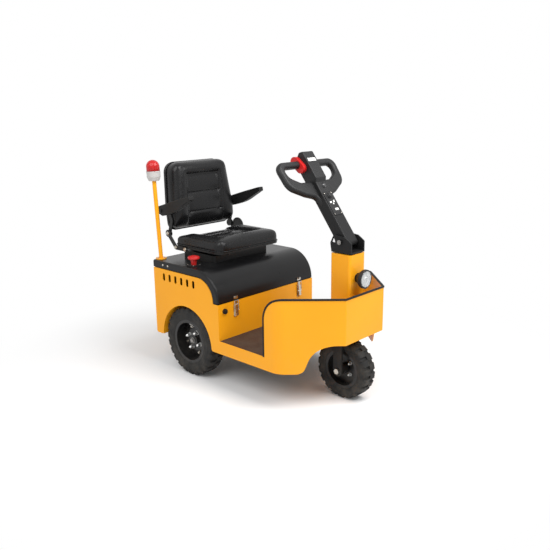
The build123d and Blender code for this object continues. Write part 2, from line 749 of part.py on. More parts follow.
def tiller_bracket():
    """Swivel base with two ears and the pivot pin."""
    rear = STEER_X - BRACKET_LENGTH / 2
    front = STEER_X + BRACKET_LENGTH / 2
    ear_high = EAR_Y + EAR_THICK
    base = upward(Pos(STEER_X, 0) * RectangleRounded(BRACKET_LENGTH, 2 * ear_high, EAR_THICK),
                  BRACKET_Z, BRACKET_Z + BRACKET_BASE)
    side = rounded((rear, BRACKET_Z, 0), (front, BRACKET_Z, 0), (front, PIVOT_Z, EAR_NOSE_R),
                   (PIVOT_X + EAR_BROW, PIVOT_Z + EAR_BROW_RISE, EAR_BROW_R),
                   (rear + EAR_HORN_INSET, PIVOT_Z + EAR_HORN_RISE, EAR_NOSE_R),
                   (rear - EAR_TAIL, PIVOT_Z - EAR_TAIL_DROP, EAR_TAIL_R))
    window_x = rear + EAR_WINDOW_INSET
    window_z = PIVOT_Z - EAR_WINDOW_DROP
    side -= rounded((window_x, window_z, EAR_WINDOW_R),
                    (window_x + EAR_WINDOW_LENGTH, window_z, EAR_WINDOW_R),
                    (window_x + EAR_WINDOW_LENGTH / 2, window_z + EAR_WINDOW_HEIGHT, EAR_WINDOW_R))
    ear = across(side, -ear_high, -EAR_Y)
    pin = across(disc(PIVOT_X, PIVOT_Z, PIVOT_PIN_R), -ear_high - NUT_THICK / 2, ear_high + NUT_THICK / 2)
    return base + ear + mirrored(ear) + pin


def tiller_arm():
    """Box-section arm on the pivot, drawn in the tiller's own plane."""
    foot_r = ARM_EDGE_R * 3
    side = rounded((-ARM_FOOT, -ARM_BACK, foot_r), (HEAD_LOW, -ARM_BACK, 0),
                   (HEAD_LOW, ARM_FRONT, 0), (-ARM_FOOT, ARM_FRONT, foot_r))
    arm = forward(side, -ARM_WIDTH / 2, ARM_WIDTH / 2)
    arm = fillet(arm.edges().filter_by(Axis.Y), ARM_EDGE_R)
    bore = forward(Circle(PIVOT_PIN_R + RUN_GAP), -ARM_WIDTH / 2, ARM_WIDTH / 2)
    return TILLER.location * (arm - bore)


def symmetric(*corners):
    """Closed face through corners (u, v, r) on the left and their mirror images on the right."""
    return rounded(*corners, *[(-u, v, radius) for u, v, radius in reversed(corners)])


def handle_loop():
    """Moulded handle: a loop on each side of the head, with a broad web that runs out on the arm."""
    neck = ARM_WIDTH / 2 + WEB_NECK
    outline = symmetric(
        (-ARM_WIDTH / 2, WEB_FOOT, 0),
        (-neck, WEB_LOW - WEB_NECK_DROP, WEB_NECK_R),
        (-WEB_HALF_WIDTH, WEB_LOW, WEB_R),
        (-GRIP_LOW_HALF_WIDTH - GRIP_R, GRIP_HEEL, GRIP_HEEL_R),
        (-GRIP_HALF_WIDTH - GRIP_R, GRIP_TOP + GRIP_R, GRIP_CORNER_R),
    )
    window = rounded(
        (-HEAD_WIDTH / 4, WINDOW_LOW, WINDOW_INNER_R),
        (-WINDOW_WEB_HALF_WIDTH, WINDOW_LOW, WINDOW_HEEL_R),
        (-GRIP_LOW_HALF_WIDTH + GRIP_R, WINDOW_HEEL, WINDOW_HEEL_R),
        (-GRIP_HALF_WIDTH + GRIP_R, GRIP_TOP - GRIP_R, WINDOW_CORNER_R),
        (-HEAD_WIDTH / 4, GRIP_TOP - GRIP_R, WINDOW_INNER_R),
    )
    outline -= window
    outline -= mirror(window, about=Plane.YZ)
    loop = upward(outline, -GRIP_SET_BACK - GRIP_R, -GRIP_SET_BACK + GRIP_R)
    rims = loop.edges().filter_by(Axis.Z, reverse=True)
    rims = rims.filter_by(lambda edge: edge.center().Y > WEB_FOOT + GRIP_EDGE_R)
    loop = fillet(rims, GRIP_EDGE_R)
    arm = block(-ARM_WIDTH / 2, ARM_WIDTH / 2, 0, HEAD_LOW, -ARM_BACK, ARM_FRONT)
    return loop - arm


def tiller_head():
    """Head box with a stepped brow, moulded in one with the handle loop, in the tiller's own plane."""
    step_top = HEAD_LOW + HEAD_STEP + HEAD_STEP_RUN
    brow = HEAD_FRONT - HEAD_BROW
    nose = HEAD_TOP - HEAD_NOSE_DROP
    side = rounded((HEAD_LOW, -HEAD_BACK, 0), (HEAD_TOP - HEAD_BACK_R, -HEAD_BACK, HEAD_BACK_R),
                   (HEAD_TOP, brow, HEAD_BROW_R), (nose, HEAD_FRONT, HEAD_NOSE_R),
                   (step_top, HEAD_FRONT, HEAD_NOSE_R), (HEAD_LOW + HEAD_STEP, ARM_FRONT, HEAD_NOSE_R),
                   (HEAD_LOW, ARM_FRONT, 0))
    head = forward(side, -HEAD_WIDTH / 2, HEAD_WIDTH / 2)
    flanks = head.edges().filter_by(lambda edge: abs(edge.center().X) > HEAD_WIDTH / 2 - HEAD_EDGE_R)
    flanks = flanks.filter_by(lambda edge: edge.center().Y > HEAD_LOW + HEAD_EDGE_R)
    return TILLER.location * (fillet(flanks, HEAD_EDGE_R) + handle_loop())


def throttle_paddles():
    """Two-lobed thumb paddles, one on each side of the head."""
    lobes = SlotCenterToCenter(2 * PADDLE_REACH, 2 * PADDLE_LOBE_R)
    place = Pos(GRIP_TOP, -GRIP_SET_BACK)
    seat = RectangleRounded(2 * GRIP_R + 2 * RUN_GAP, 2 * GRIP_R + 2 * RUN_GAP, GRIP_EDGE_R + RUN_GAP)
    face = place * (Rot(0, 0, PADDLE_TURN) * lobes - seat)
    paddle = forward(face, -HEAD_WIDTH / 2 - PADDLE_THICK, -HEAD_WIDTH / 2)
    return TILLER.location * (paddle + mirror(paddle, about=Plane.YZ))


def control_panel():
    """Cover plate on the arm's upper face for the switch and indicator."""
    face = RectangleRounded(PANEL_WIDTH, PANEL_LENGTH, ARM_EDGE_R)
    plate = upward(Pos(0, PANEL_START + PANEL_LENGTH / 2) * face, ARM_FRONT, ARM_FRONT + PANEL_THICK)
    return TILLER.location * plate


def headlamp_housing():
    """Bowl, bezel and bracket of the headlamp, on the column's front face."""
    bowl = rounded((0, -LAMP_DEPTH, 0), (LAMP_BACK_R, -LAMP_DEPTH, LAMP_BACK_EDGE_R),
                   (LAMP_R, -LAMP_SHOULDER, LAMP_SHOULDER_R), (LAMP_R, 0, LAMP_LIP_R),
                   (LAMP_R - LAMP_RIM, 0, 0), (LAMP_R - LAMP_RIM, -LAMP_RIM, 0), (0, -LAMP_RIM, 0))
    place = Pos(LAMP_X, 0, LAMP_Z) * Rot(0, 0, -90)
    lamp = place * revolve(bowl, Axis.Y)
    face_x = STEER_X + COLUMN_LENGTH / 2
    lamp += forward(Pos(0, LAMP_Z) * Circle(LAMP_STEM_R), face_x, LAMP_X - LAMP_DEPTH)
    return lamp + forward(Pos(0, LAMP_Z) * Circle(LAMP_FOOT_R), face_x, face_x + LAMP_FOOT_THICK)


def headlamp_lens():
    """Domed glass in the bezel."""
    radius = LAMP_R - LAMP_RIM - RUN_GAP
    dome_r = (radius ** 2 + LENS_BULGE ** 2) / (2 * LENS_BULGE)
    ball = Pos(LAMP_X + LENS_BULGE - dome_r, 0, LAMP_Z) * Sphere(dome_r)
    return forward(Pos(0, LAMP_Z) * Circle(radius), LAMP_X - LAMP_RIM, LAMP_X + LENS_BULGE) & ball


def key_switch():
    """Round key switch on the battery box front."""
    body = forward(Pos(KEY_Y, KEY_Z) * Circle(KEY_R), BOX_FRONT_X, BOX_FRONT_X + KEY_DEPTH)
    slot = Pos(KEY_Y, KEY_Z) * Rectangle(KEY_R / 6, KEY_R)
    return body - forward(slot, BOX_FRONT_X + KEY_DEPTH / 2, BOX_FRONT_X + KEY_DEPTH)


def lid_latches():
    """Toggle latches on the battery box front, with their draw hooks below the lid's strikes."""
    latches = None
    plate_x = BOX_FRONT_X + LATCH_PLATE
    hook_top = LID_FOOT_Z + STRIKE_LOW - LATCH_CLEAR
    for y in (-LATCH_Y, LATCH_Y):
        plate = RectangleRounded(LATCH_WIDTH, LATCH_HEIGHT, LATCH_CORNER_R)
        latch = forward(Pos(y, LATCH_LOW_Z + LATCH_HEIGHT / 2) * plate, BOX_FRONT_X, plate_x)
        side = rounded((plate_x, LATCH_LOW_Z, 0),
                       (plate_x + LATCH_LEVER_DEPTH, LATCH_LOW_Z + LATCH_LEVER_TIP, LATCH_LEVER_R),
                       (plate_x + LATCH_LEVER_TIP, LATCH_TOP_Z, LATCH_LEVER_R), (plate_x, LATCH_TOP_Z, 0))
        latch += across(side, y - LATCH_LEVER_WIDTH / 2, y + LATCH_LEVER_WIDTH / 2)
        latch += block(plate_x, plate_x + LATCH_HOOK_DEPTH,
                       y - LATCH_HOOK_WIDTH / 2, y + LATCH_HOOK_WIDTH / 2,
                       LATCH_TOP_Z - LATCH_HOOK_DEPTH, hook_top)
        wire_z = (LATCH_LOW_Z + LATCH_TOP_Z) / 2
        latch += across(disc(plate_x + LATCH_LEVER_DEPTH / 2, wire_z, LATCH_LEVER_R),
                        y - LATCH_WIDTH / 2, y + LATCH_WIDTH / 2)
        for wire_y in (y - LATCH_WIDTH / 2, y + LATCH_WIDTH / 2):
            wire = Pos(plate_x + LATCH_LEVER_DEPTH / 2, wire_y) * Circle(LATCH_WIRE_R)
            latch += upward(wire, wire_z, hook_top)
        latch += across(disc(plate_x + LATCH_LEVER_DEPTH / 2, hook_top - LATCH_WIRE_R, LATCH_WIRE_R),
                        y - LATCH_WIDTH / 2, y + LATCH_WIDTH / 2)
        latches = latch if latches is None else latches + latch
    return latches


def latch_strikes():
    """Strike hooks on the lid's front."""
    strikes = None
    low_z = LID_FOOT_Z + STRIKE_LOW
    for y in (-LATCH_Y, LATCH_Y):
        plate = RectangleRounded(LATCH_WIDTH, STRIKE_HEIGHT, STRIKE_CORNER_R)
        place = Pos(y, low_z + STRIKE_HEIGHT / 2)
        strike = forward(place * plate, LID_FRONT_X, LID_FRONT_X + LATCH_PLATE)
        strike += block(LID_FRONT_X, LID_FRONT_X + STRIKE_DEPTH, y - LATCH_HOOK_WIDTH / 2,
                        y + LATCH_HOOK_WIDTH / 2, low_z + STRIKE_HEIGHT / 2, low_z + STRIKE_HEIGHT)
        strikes = strike if strikes is None else strikes + strike
    return strikes


def seat_base():
    """Pedestal between the lid and the seat rails."""
    length = SEAT_BASE_FRONT_X - SEAT_BASE_REAR_X
    place = Pos((SEAT_BASE_FRONT_X + SEAT_BASE_REAR_X) / 2, 0)
    return upward(place * RectangleRounded(length, SEAT_BASE_WIDTH, SEAT_BASE_R), LID_TOP_Z, SEAT_RAIL_Z)


def seat_rails():
    """Fixed slide rails on the base."""
    rail = block(SEAT_BASE_REAR_X, SEAT_BASE_FRONT_X, -SEAT_RAIL_Y - SEAT_RAIL_WIDTH / 2,
                 -SEAT_RAIL_Y + SEAT_RAIL_WIDTH / 2, SEAT_RAIL_Z, SEAT_RAIL_Z + SEAT_RAIL_HEIGHT)
    return rail + mirrored(rail)


def seat_plan(inset):
    """Plan of the seat with rounded front corners."""
    half = SEAT_WIDTH / 2 - inset
    corner = CUSHION_CORNER_R - inset
    return rounded((SEAT_REAR_X + inset, -half, corner / 2), (SEAT_FRONT_X - inset, -half, corner),
                   (SEAT_FRONT_X - inset, half, corner), (SEAT_REAR_X + inset, half, corner / 2))


def seat_pan():
    """Seat pan on its sliders, with the slide lever."""
    pan = upward(seat_plan(PAN_INSET), PAN_Z, PAN_Z + PAN_THICK)
    middle = (SEAT_BASE_REAR_X + SEAT_BASE_FRONT_X) / 2
    slider = block(middle - SLIDER_LENGTH / 2, middle + SLIDER_LENGTH / 2, -SEAT_RAIL_Y - SEAT_RAIL_WIDTH / 2,
                   -SEAT_RAIL_Y + SEAT_RAIL_WIDTH / 2, SLIDER_Z, PAN_Z)
    lever_z = PAN_Z - LEVER_R / 2
    lever = forward(Pos(-SEAT_RAIL_Y - SEAT_RAIL_WIDTH, lever_z) * Circle(LEVER_R),
                    SEAT_FRONT_X - LEVER_LENGTH, SEAT_FRONT_X)
    return pan + slider + mirrored(slider) + lever


def seat_cushion():
    """Plain cushion block with softened edges."""
    cushion = upward(seat_plan(0), CUSHION_Z, CUSHION_Z + CUSHION_HEIGHT)
    return fillet(cushion.faces().sort_by(Axis.Z)[-1].edges(), CUSHION_EDGE_R)


def recliner_brackets():
    """Lower recliner plates bolted to the seat pan; the left one carries the round recliner cover."""
    outline = bar(BOLT_FRONT_X, BOLT_Z, BOLT_REAR_X, BOLT_Z, PLATE_WIDTH)
    outline += bar(BOLT_REAR_X, BOLT_Z, RECLINE_X, RECLINE_Z, PLATE_WIDTH)
    outline += disc(RECLINE_X, RECLINE_Z, KNUCKLE_R)
    far_y = LOW_PLATE_Y + PLATE_THICK
    pan_y = SEAT_WIDTH / 2 - PAN_INSET
    extras = across(disc(RECLINE_X, RECLINE_Z, RECLINE_PIN_R), -LOW_PLATE_Y, -BACK_ARM_Y)
    for x in (BOLT_FRONT_X, BOLT_REAR_X + CUSHION_CORNER_R / 2):
        extras += block(x - PLATE_WIDTH / 2, x + PLATE_WIDTH / 2, -LOW_PLATE_Y, -pan_y,
                        PAN_Z, PAN_Z + PAN_THICK / 2)
    right = across(outline, -far_y, -LOW_PLATE_Y) + extras
    cover = outline + disc(BOLT_REAR_X, RECLINE_Z - KNUCKLE_R / 2, RECLINER_COVER_R)
    left = mirrored(across(cover, -far_y, -LOW_PLATE_Y) + extras)
    return right + left


def back_outline(inset):
    """Front view of the backrest, in its own plane."""
    half = BACK_WIDTH / 2 - inset
    top = BACK_TOP_WIDTH / 2 - inset
    return rounded((-half, inset, BACK_LOW_R), (half, inset, BACK_LOW_R), (half, BACK_STRAIGHT, BACK_SIDE_R),
                   (top, BACK_HEIGHT - inset, BACK_TOP_R), (-top, BACK_HEIGHT - inset, BACK_TOP_R),
                   (-half, BACK_STRAIGHT, BACK_SIDE_R))


def backrest_shell():
    """Rear shell of the backrest."""
    rear = -BACK_SHELL_THICK - BACK_PAD_THICK / 2
    shell = upward(back_outline(0), rear, rear + BACK_SHELL_THICK)
    shell = fillet(shell.faces().sort_by(Axis.Z)[0].edges(), BACK_SHELL_THICK / 2)
    return BACK.location * shell


def backrest_cushion():
    """Plain backrest pad with softened edges, rolled back at its foot to clear the seat when it folds."""
    low = SOFT_GAP - BACK_PAD_THICK / 2
    high = low + BACK_PAD_THICK
    pad = upward(back_outline(0), low, high)
    pad = fillet(pad.faces().sort_by(Axis.Z)[-1].edges(), BACK_EDGE_R)
    roll = rounded((0, low, 0), (BACK_HEIGHT, low, 0), (BACK_HEIGHT, high, 0), (0, high, BACK_ROLL_R))
    return BACK.location * (pad & forward(roll, -BACK_WIDTH / 2, BACK_WIDTH / 2))


def backrest_arms():
    """Upper recliner plates on the backrest's sides, with the armrest pins."""
    bend_x = RECLINE_X + KNUCKLE_R
    bend_z = (RECLINE_Z + ARM_PIVOT_Z) / 2
    outline = bar(RECLINE_X, RECLINE_Z, bend_x, bend_z, PLATE_WIDTH)
    outline += bar(bend_x, bend_z, ARM_PIVOT_X, ARM_PIVOT_Z, PLATE_WIDTH)
    outline += disc(RECLINE_X, RECLINE_Z, KNUCKLE_R)
    outline -= disc(RECLINE_X, RECLINE_Z, RECLINE_PIN_R + RUN_GAP)
    plate = across(outline, -BACK_ARM_Y - PLATE_THICK, -BACK_ARM_Y)
    pin_end = ARMREST_Y + ARMREST_PIN_DEPTH
    plate += across(disc(ARM_PIVOT_X, ARM_PIVOT_Z, ARM_PIN_R), -pin_end, -BACK_ARM_Y)
    return plate + mirrored(plate)


def armrest():
    """Right armrest: a deep blade with a rounded belly, thinner at its front tip."""
    side = Pos(ARM_PIVOT_X, ARM_PIVOT_Z) * rounded(
        (-ARMREST_HEEL, -ARMREST_SPREAD, ARMREST_HEEL_R),
        (ARMREST_SPREAD, -ARMREST_DROP, ARMREST_HEEL_R),
        (ARMREST_BELLY, ARMREST_BELLY_RISE, ARMREST_BELLY_R),
        (ARMREST_LENGTH, ARMREST_RISE - ARMREST_TIP, ARMREST_TIP_R),
        (ARMREST_LENGTH - ARMREST_TIP_SLOPE, ARMREST_RISE, ARMREST_TIP_R),
        (ARMREST_BELLY, ARMREST_CREST, ARMREST_CREST_R),
        (-ARMREST_HEEL + ARMREST_TIP_SLOPE, ARMREST_HEEL_RISE, ARMREST_HEEL_R),
    )
    pad = across(side, -ARMREST_Y - ARMREST_WIDTH, -ARMREST_Y)
    ends = pad.faces().filter_by(Axis.Y)
    pad = fillet(ends.sort_by(Axis.Y)[0].edges(), ARMREST_EDGE_R)
    bore_end = ARMREST_Y + ARMREST_PIN_DEPTH + RUN_GAP
    return pad - across(disc(ARM_PIVOT_X, ARM_PIVOT_Z, ARM_PIN_R + RUN_GAP), -bore_end, -ARMREST_Y)


def beacon_pole():
    """Pole with its flange on the lid."""
    pole = POLE * upward(Circle(POLE_R), POLE_FLANGE_THICK / 2, POLE_FLANGE_THICK / 2 + POLE_LENGTH)
    flange = upward(Pos(POLE_X, POLE_Y) * Circle(POLE_FLANGE_R), LID_TOP_Z, LID_TOP_Z + POLE_FLANGE_THICK)
    above = upward(Pos(POLE_X, POLE_Y) * Circle(POLE_LENGTH), LID_TOP_Z, LID_TOP_Z + 2 * POLE_LENGTH)
    return (pole & above) + flange


def beacon_cup():
    """Base cup of the beacon."""
    low = POLE_FLANGE_THICK / 2 + POLE_LENGTH
    profile = rounded((0, low, 0), (CUP_LOW_R, low, CUP_FOOT_R), (CUP_R, low + CUP_STEP, CUP_STEP_R),
                      (CUP_R, low + CUP_HEIGHT, 0), (0, low + CUP_HEIGHT, 0))
    return POLE * revolve(Plane.XZ * profile, Axis.Z)


def beacon_dome():
    """Domed lens of the beacon."""
    low = POLE_FLANGE_THICK / 2 + POLE_LENGTH + CUP_HEIGHT
    top = low + DOME_HEIGHT
    profile = rounded((0, low, 0), (DOME_R, low, 0), (DOME_R, top, DOME_TOP_R), (0, top, 0))
    return POLE * revolve(Plane.XZ * profile, Axis.Z)


def estop_base():
    """Square base of the emergency stop."""
    plan = Pos(STOP_X, STOP_Y) * RectangleRounded(STOP_BASE, STOP_BASE, STOP_BASE_THICK)
    return upward(plan, LID_TOP_Z, LID_TOP_Z + STOP_BASE_THICK)


def estop_button():
    """Mushroom button on a tapered neck."""
    low = LID_TOP_Z + STOP_BASE_THICK
    high = low + STOP_NECK_HEIGHT
    top = high + STOP_HEAD_HEIGHT
    profile = rounded((0, low, 0), (STOP_NECK_R, low, 0), (STOP_NECK_TOP_R, high, 0),
                      (STOP_HEAD_R, high + STOP_HEAD_SLOPE, STOP_HEAD_SLOPE),
                      (STOP_HEAD_R, top - STOP_HEAD_EDGE_R, STOP_HEAD_EDGE_R),
                      (STOP_HEAD_R / 2, top, STOP_HEAD_EDGE_R), (0, top, 0))
    return Pos(STOP_X, STOP_Y, 0) * revolve(Plane.XZ * profile, Axis.Z)


def lug_ring(radius, width, count, side):
    """One row of shoulder lugs as a toothed ring, chamfered at its outer edge; the two rows are staggered."""
    half_pitch = 180 / count
    foot = radius - LUG_DEPTH + LUG_VALLEY
    top = radius / cos(radians(LUG_TOP_SHARE * half_pitch))
    # Tooth corners: share of the half pitch, reach
    tooth = ((-LUG_FOOT_SHARE, foot), (-LUG_TOP_SHARE, top), (LUG_TOP_SHARE, top), (LUG_FOOT_SHARE, foot))
    first = -90 if side < 0 else half_pitch - 90
    corners = []
    for index in range(count):
        for share, reach in tooth:
            angle = radians(first + (2 * index + share) * half_pitch)
            corners.append((reach * cos(angle), reach * sin(angle), 0))
    bore = radius - 3 * LUG_DEPTH
    reach = side * width / 2 * LUG_WIDTH_SHARE
    ring = across(rounded(*corners) - Circle(bore), min(0, reach), max(0, reach))
    envelope = rounded((0, -side * LUG_DEPTH, 0), (radius, -side * LUG_DEPTH, 0),
                       (radius, reach - side * LUG_CHAMFER, 0), (radius - LUG_CHAMFER, reach, 0),
                       (radius - 2 * LUG_CHAMFER, reach + side * LUG_CHAMFER, 0),
                       (0, reach + side * LUG_CHAMFER, 0))
    return ring & revolve(envelope, Axis.Y)


def tyre(radius, width, seat_r, bead_half, lugs):
    """Tyre round the Y axis: sidewalls and tread base, with two rows of lugs moulded on."""
    half = width / 2
    base = radius - LUG_DEPTH
    height = base - seat_r
    bulge = seat_r + BULGE_SHARE * height
    shoulder = base - SHOULDER_SHARE * height
    bead = seat_r + RIM_FLANGE
    profile = rounded((seat_r, -bead_half, 0), (bead, -bead_half, 0), (bulge, -half, 0), (shoulder, -half, 0),
                      (base, -half * CROWN_SHARE, 0), (base, half * CROWN_SHARE, 0), (shoulder, half, 0),
                      (bulge, half, 0), (bead, bead_half, 0), (seat_r, bead_half, 0))
    body = revolve(profile, Axis.Y)
    for side in (-1, 1):
        body += lug_ring(radius, width, lugs, side)
    return body


def rim(seat_r, bead_half, web_y, dish, hub_r, hub_low, hub_high, bore_r, bore_low):
    """Wheel rim round the Y axis: barrel, flanges, dished web and hub with a bore."""
    inside = seat_r - RIM_WALL
    lip_half = bead_half + RIM_LIP
    flange_r = seat_r + RIM_FLANGE
    profile = rounded((inside, -lip_half, 0), (flange_r, -lip_half, RIM_LIP / 2), (flange_r, -bead_half, 0),
                      (seat_r, -bead_half, 0), (seat_r, bead_half, 0), (flange_r, bead_half, 0),
                      (flange_r, lip_half, RIM_LIP / 2), (inside, lip_half, 0))
    wheel = revolve(profile, Axis.Y)
    web_r = inside + RIM_WALL / 2
    low = web_y - RIM_WEB / 2
    high = web_y + RIM_WEB / 2
    web = rounded((0, low, 0), (min(RIM_DISH_R, web_r - RIM_WEB), low, 0), (web_r, low + dish, 0),
                  (web_r, high + dish, 0), (min(RIM_DISH_R, web_r - RIM_WEB), high, 0), (0, high, 0))
    wheel += revolve(web, Axis.Y)
    wheel += revolve(Pos(hub_r / 2, (hub_low + hub_high) / 2) * Rectangle(hub_r, hub_high - hub_low), Axis.Y)
    bore = Pos(bore_r / 2, (bore_low + hub_high) / 2) * Rectangle(bore_r, hub_high - bore_low)
    return wheel - revolve(bore, Axis.Y)


def rear_wheel():
    """Right rear tyre and rim in place."""
    place = Pos(REAR_AXLE_X, -REAR_WHEEL_Y, REAR_TYRE_R)
    hub_end = REAR_TYRE_WIDTH / 2
    body = rim(REAR_SEAT_R, REAR_BEAD_HALF, REAR_WEB_Y, REAR_DISH, REAR_HUB_R, -REAR_CAP, hub_end,
               AXLE_STUB_R + RUN_GAP, -RUN_GAP)
    rubber = tyre(REAR_TYRE_R, REAR_TYRE_WIDTH, REAR_SEAT_R, REAR_BEAD_HALF, REAR_LUGS)
    return place * rubber, place * body


def front_wheel():
    """Front tyre and rim in place."""
    place = Pos(STEER_X, 0, FRONT_TYRE_R)
    hub_half = FORK_Y - FRONT_HUB_GAP
    body = rim(FRONT_SEAT_R, FRONT_BEAD_HALF, 0, 0, FRONT_HUB_R, -hub_half, hub_half,
               FRONT_AXLE_R + RUN_GAP, -hub_half)
    rubber = tyre(FRONT_TYRE_R, FRONT_TYRE_WIDTH, FRONT_SEAT_R, FRONT_BEAD_HALF, FRONT_LUGS)
    return place * rubber, place * body


def parts():
    """Every node by name."""
    rear_tyre, rear_rim = rear_wheel()
    front_tyre, front_rim = front_wheel()
    nodes = {}
    nodes.update(pair("side_panel", side_panel()))
    nodes.update(pair("wheel_well", wheel_well()))
    nodes.update(pair("rear_tyre", rear_tyre))
    nodes.update(pair("rear_rim", rear_rim))
    nodes.update(pair("armrest", armrest()))
    nodes.update({"front_tyre": front_tyre, "front_rim": front_rim})
    single = (
        cowl_front, cowl_deck, rear_panel, box_front_panel, floor_plate, floor_mat, chassis_frame,
        battery_shelf, battery_pack, rear_axle, drive_motor, tow_hitch, hood, lid_hinges, lid_knuckles,
        steering_column, steering_fork, front_axle, tiller_bracket, tiller_arm, tiller_head,
        throttle_paddles, control_panel, headlamp_housing, headlamp_lens, key_switch, lid_latches,
        latch_strikes, seat_base, seat_rails, seat_pan, seat_cushion, recliner_brackets, backrest_shell,
        backrest_cushion, backrest_arms, beacon_pole, beacon_cup, beacon_dome, estop_base, estop_button,
    )
    for make in single:
        nodes[make.__name__] = make()
    return nodes


os.makedirs("parts", exist_ok=True)
for name, shape in parts().items():
    export_step(Pos(X_SHIFT, 0, 0) * shape, "parts/" + name + ".step")
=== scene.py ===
import json
from math import atan2, cos, exp, pi, radians, sin, sqrt, tan
from typing import NamedTuple

import bmesh
import bpy
from mathutils import Matrix, Vector
from mathutils.bvhtree import BVHTree


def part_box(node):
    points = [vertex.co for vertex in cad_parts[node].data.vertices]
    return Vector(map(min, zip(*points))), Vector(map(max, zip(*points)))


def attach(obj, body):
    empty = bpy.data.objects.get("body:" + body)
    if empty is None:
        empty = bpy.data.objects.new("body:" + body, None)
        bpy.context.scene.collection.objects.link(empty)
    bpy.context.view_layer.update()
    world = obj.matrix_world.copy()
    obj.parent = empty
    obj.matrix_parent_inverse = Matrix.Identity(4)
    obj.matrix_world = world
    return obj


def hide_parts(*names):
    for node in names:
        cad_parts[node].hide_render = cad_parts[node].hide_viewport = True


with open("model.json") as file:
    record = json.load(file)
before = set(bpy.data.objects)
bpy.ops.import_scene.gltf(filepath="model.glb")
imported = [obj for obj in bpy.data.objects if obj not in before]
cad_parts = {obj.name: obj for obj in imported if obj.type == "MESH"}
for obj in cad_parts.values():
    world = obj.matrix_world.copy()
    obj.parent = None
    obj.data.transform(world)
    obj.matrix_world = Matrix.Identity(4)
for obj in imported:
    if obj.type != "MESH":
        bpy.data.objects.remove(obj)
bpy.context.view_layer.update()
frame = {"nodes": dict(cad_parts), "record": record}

# Looks of the three-wheel tow tractor, in metres, in the frame of its solids.
SCENE = bpy.context.scene
SCENE.view_settings.view_transform = "Standard"

# Stations x are counted forward from the rear panel
REAR_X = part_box("rear_panel")[0].x
HALF_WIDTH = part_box("side_panel_left")[1].y
COWL_TOP_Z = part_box("cowl_front")[1].z
NOSE_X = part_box("cowl_front")[1].x
FLOOR_TOP_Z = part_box("floor_mat")[1].z
LID_TOP_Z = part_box("hood")[1].z

# Camera of the photograph
CAMERA_PLACE = (3.1974, -2.7062, 1.5639)
CAMERA_YAW = 47.177
CAMERA_PITCH = 14.215
CAMERA_ROLL = -0.48
CAMERA_LENS = 43.46
CAMERA_SHIFT = (-0.0149, -0.0080)

# Studio
AMBIENT = 0.56
KEY_ENERGY = 88.0
KEY_PLACE = (0.6, -3.2, 3.6)
KEY_SIZE = 2.6
FILL_ENERGY = 92.0
FILL_PLACE = (1.9, 0.3, 2.9)
FILL_SIZE = 2.0
FLOOR_RADIUS = 14.0
FLOOR_CLEAR = 0.8
FLOOR_FADE = 1.9


def at(x, y, z):
    """Point at station x, in the row frame."""
    return Vector((REAR_X + x, y, z))


# Shader groups shared by the finishes


def shader_group(name, inputs, outputs):
    """Empty shader node group with named sockets."""
    tree = bpy.data.node_groups.new(name, "ShaderNodeTree")
    for label, kind, value in inputs:
        socket = tree.interface.new_socket(label, in_out="INPUT", socket_type=kind)
        socket.default_value = value
    for label, kind in outputs:
        tree.interface.new_socket(label, in_out="OUTPUT", socket_type=kind)
    return tree, tree.nodes.new("NodeGroupInput"), tree.nodes.new("NodeGroupOutput")


def add_node(tree, kind, settings=None, **values):
    """Node with its properties set and its inputs filled by values or links."""
    node = tree.nodes.new(kind)
    for key, value in (settings or {}).items():
        setattr(node, key, value)
    for key, value in values.items():
        fill(tree, node, key.replace("_", " "), value)
    return node


def fill(tree, node, label, value):
    """Link or set one input of a node, found by its label or place."""
    socket = node.inputs[int(label[1:])] if label[0] == "i" and label[1:].isdigit() else node.inputs[label]
    if isinstance(value, bpy.types.NodeSocket):
        tree.links.new(value, socket)
    else:
        socket.default_value = value


def uneven_group():
    """Cloudy change of colour and gloss over a surface."""
    tree, source, sink = shader_group(
        "uneven_finish",
        (("Colour", "NodeSocketColor", (0.5, 0.5, 0.5, 1)), ("Shade", "NodeSocketColor", (0.4, 0.4, 0.4, 1)),
         ("Cloud Scale", "NodeSocketFloat", 6.0), ("Cloud Amount", "NodeSocketFloat", 0.4),
         ("Gloss", "NodeSocketFloat", 0.4), ("Gloss Spread", "NodeSocketFloat", 0.1)),
        (("Colour", "NodeSocketColor"), ("Roughness", "NodeSocketFloat"), ("Mask", "NodeSocketFloat")))
    place = add_node(tree, "ShaderNodeTexCoord").outputs["Object"]
    cloud = add_node(tree, "ShaderNodeTexNoise", Vector=place, Scale=source.outputs["Cloud Scale"], Detail=5.0)
    patch = add_node(tree, "ShaderNodeMapRange", i0=cloud.outputs["Fac"], i1=0.35, i2=0.7)
    share = add_node(tree, "ShaderNodeMath", {"operation": "MULTIPLY"}, i0=patch.outputs[0],
                     i1=source.outputs["Cloud Amount"])
    colour = add_node(tree, "ShaderNodeMix", {"data_type": "RGBA"}, i0=share.outputs[0],
                      i6=source.outputs["Colour"], i7=source.outputs["Shade"])
    fine = add_node(tree, "ShaderNodeTexNoise", Vector=place, Scale=55.0, Detail=3.0)
    centred = add_node(tree, "ShaderNodeMath", {"operation": "SUBTRACT"}, i0=fine.outputs["Fac"], i1=0.5)
    gloss = add_node(tree, "ShaderNodeMath", {"operation": "MULTIPLY_ADD"}, i0=centred.outputs[0],
                     i1=source.outputs["Gloss Spread"], i2=source.outputs["Gloss"])
    tree.links.new(colour.outputs["Result"], sink.inputs["Colour"])
    tree.links.new(gloss.outputs[0], sink.inputs["Roughness"])
    tree.links.new(patch.outputs[0], sink.inputs["Mask"])
    return tree


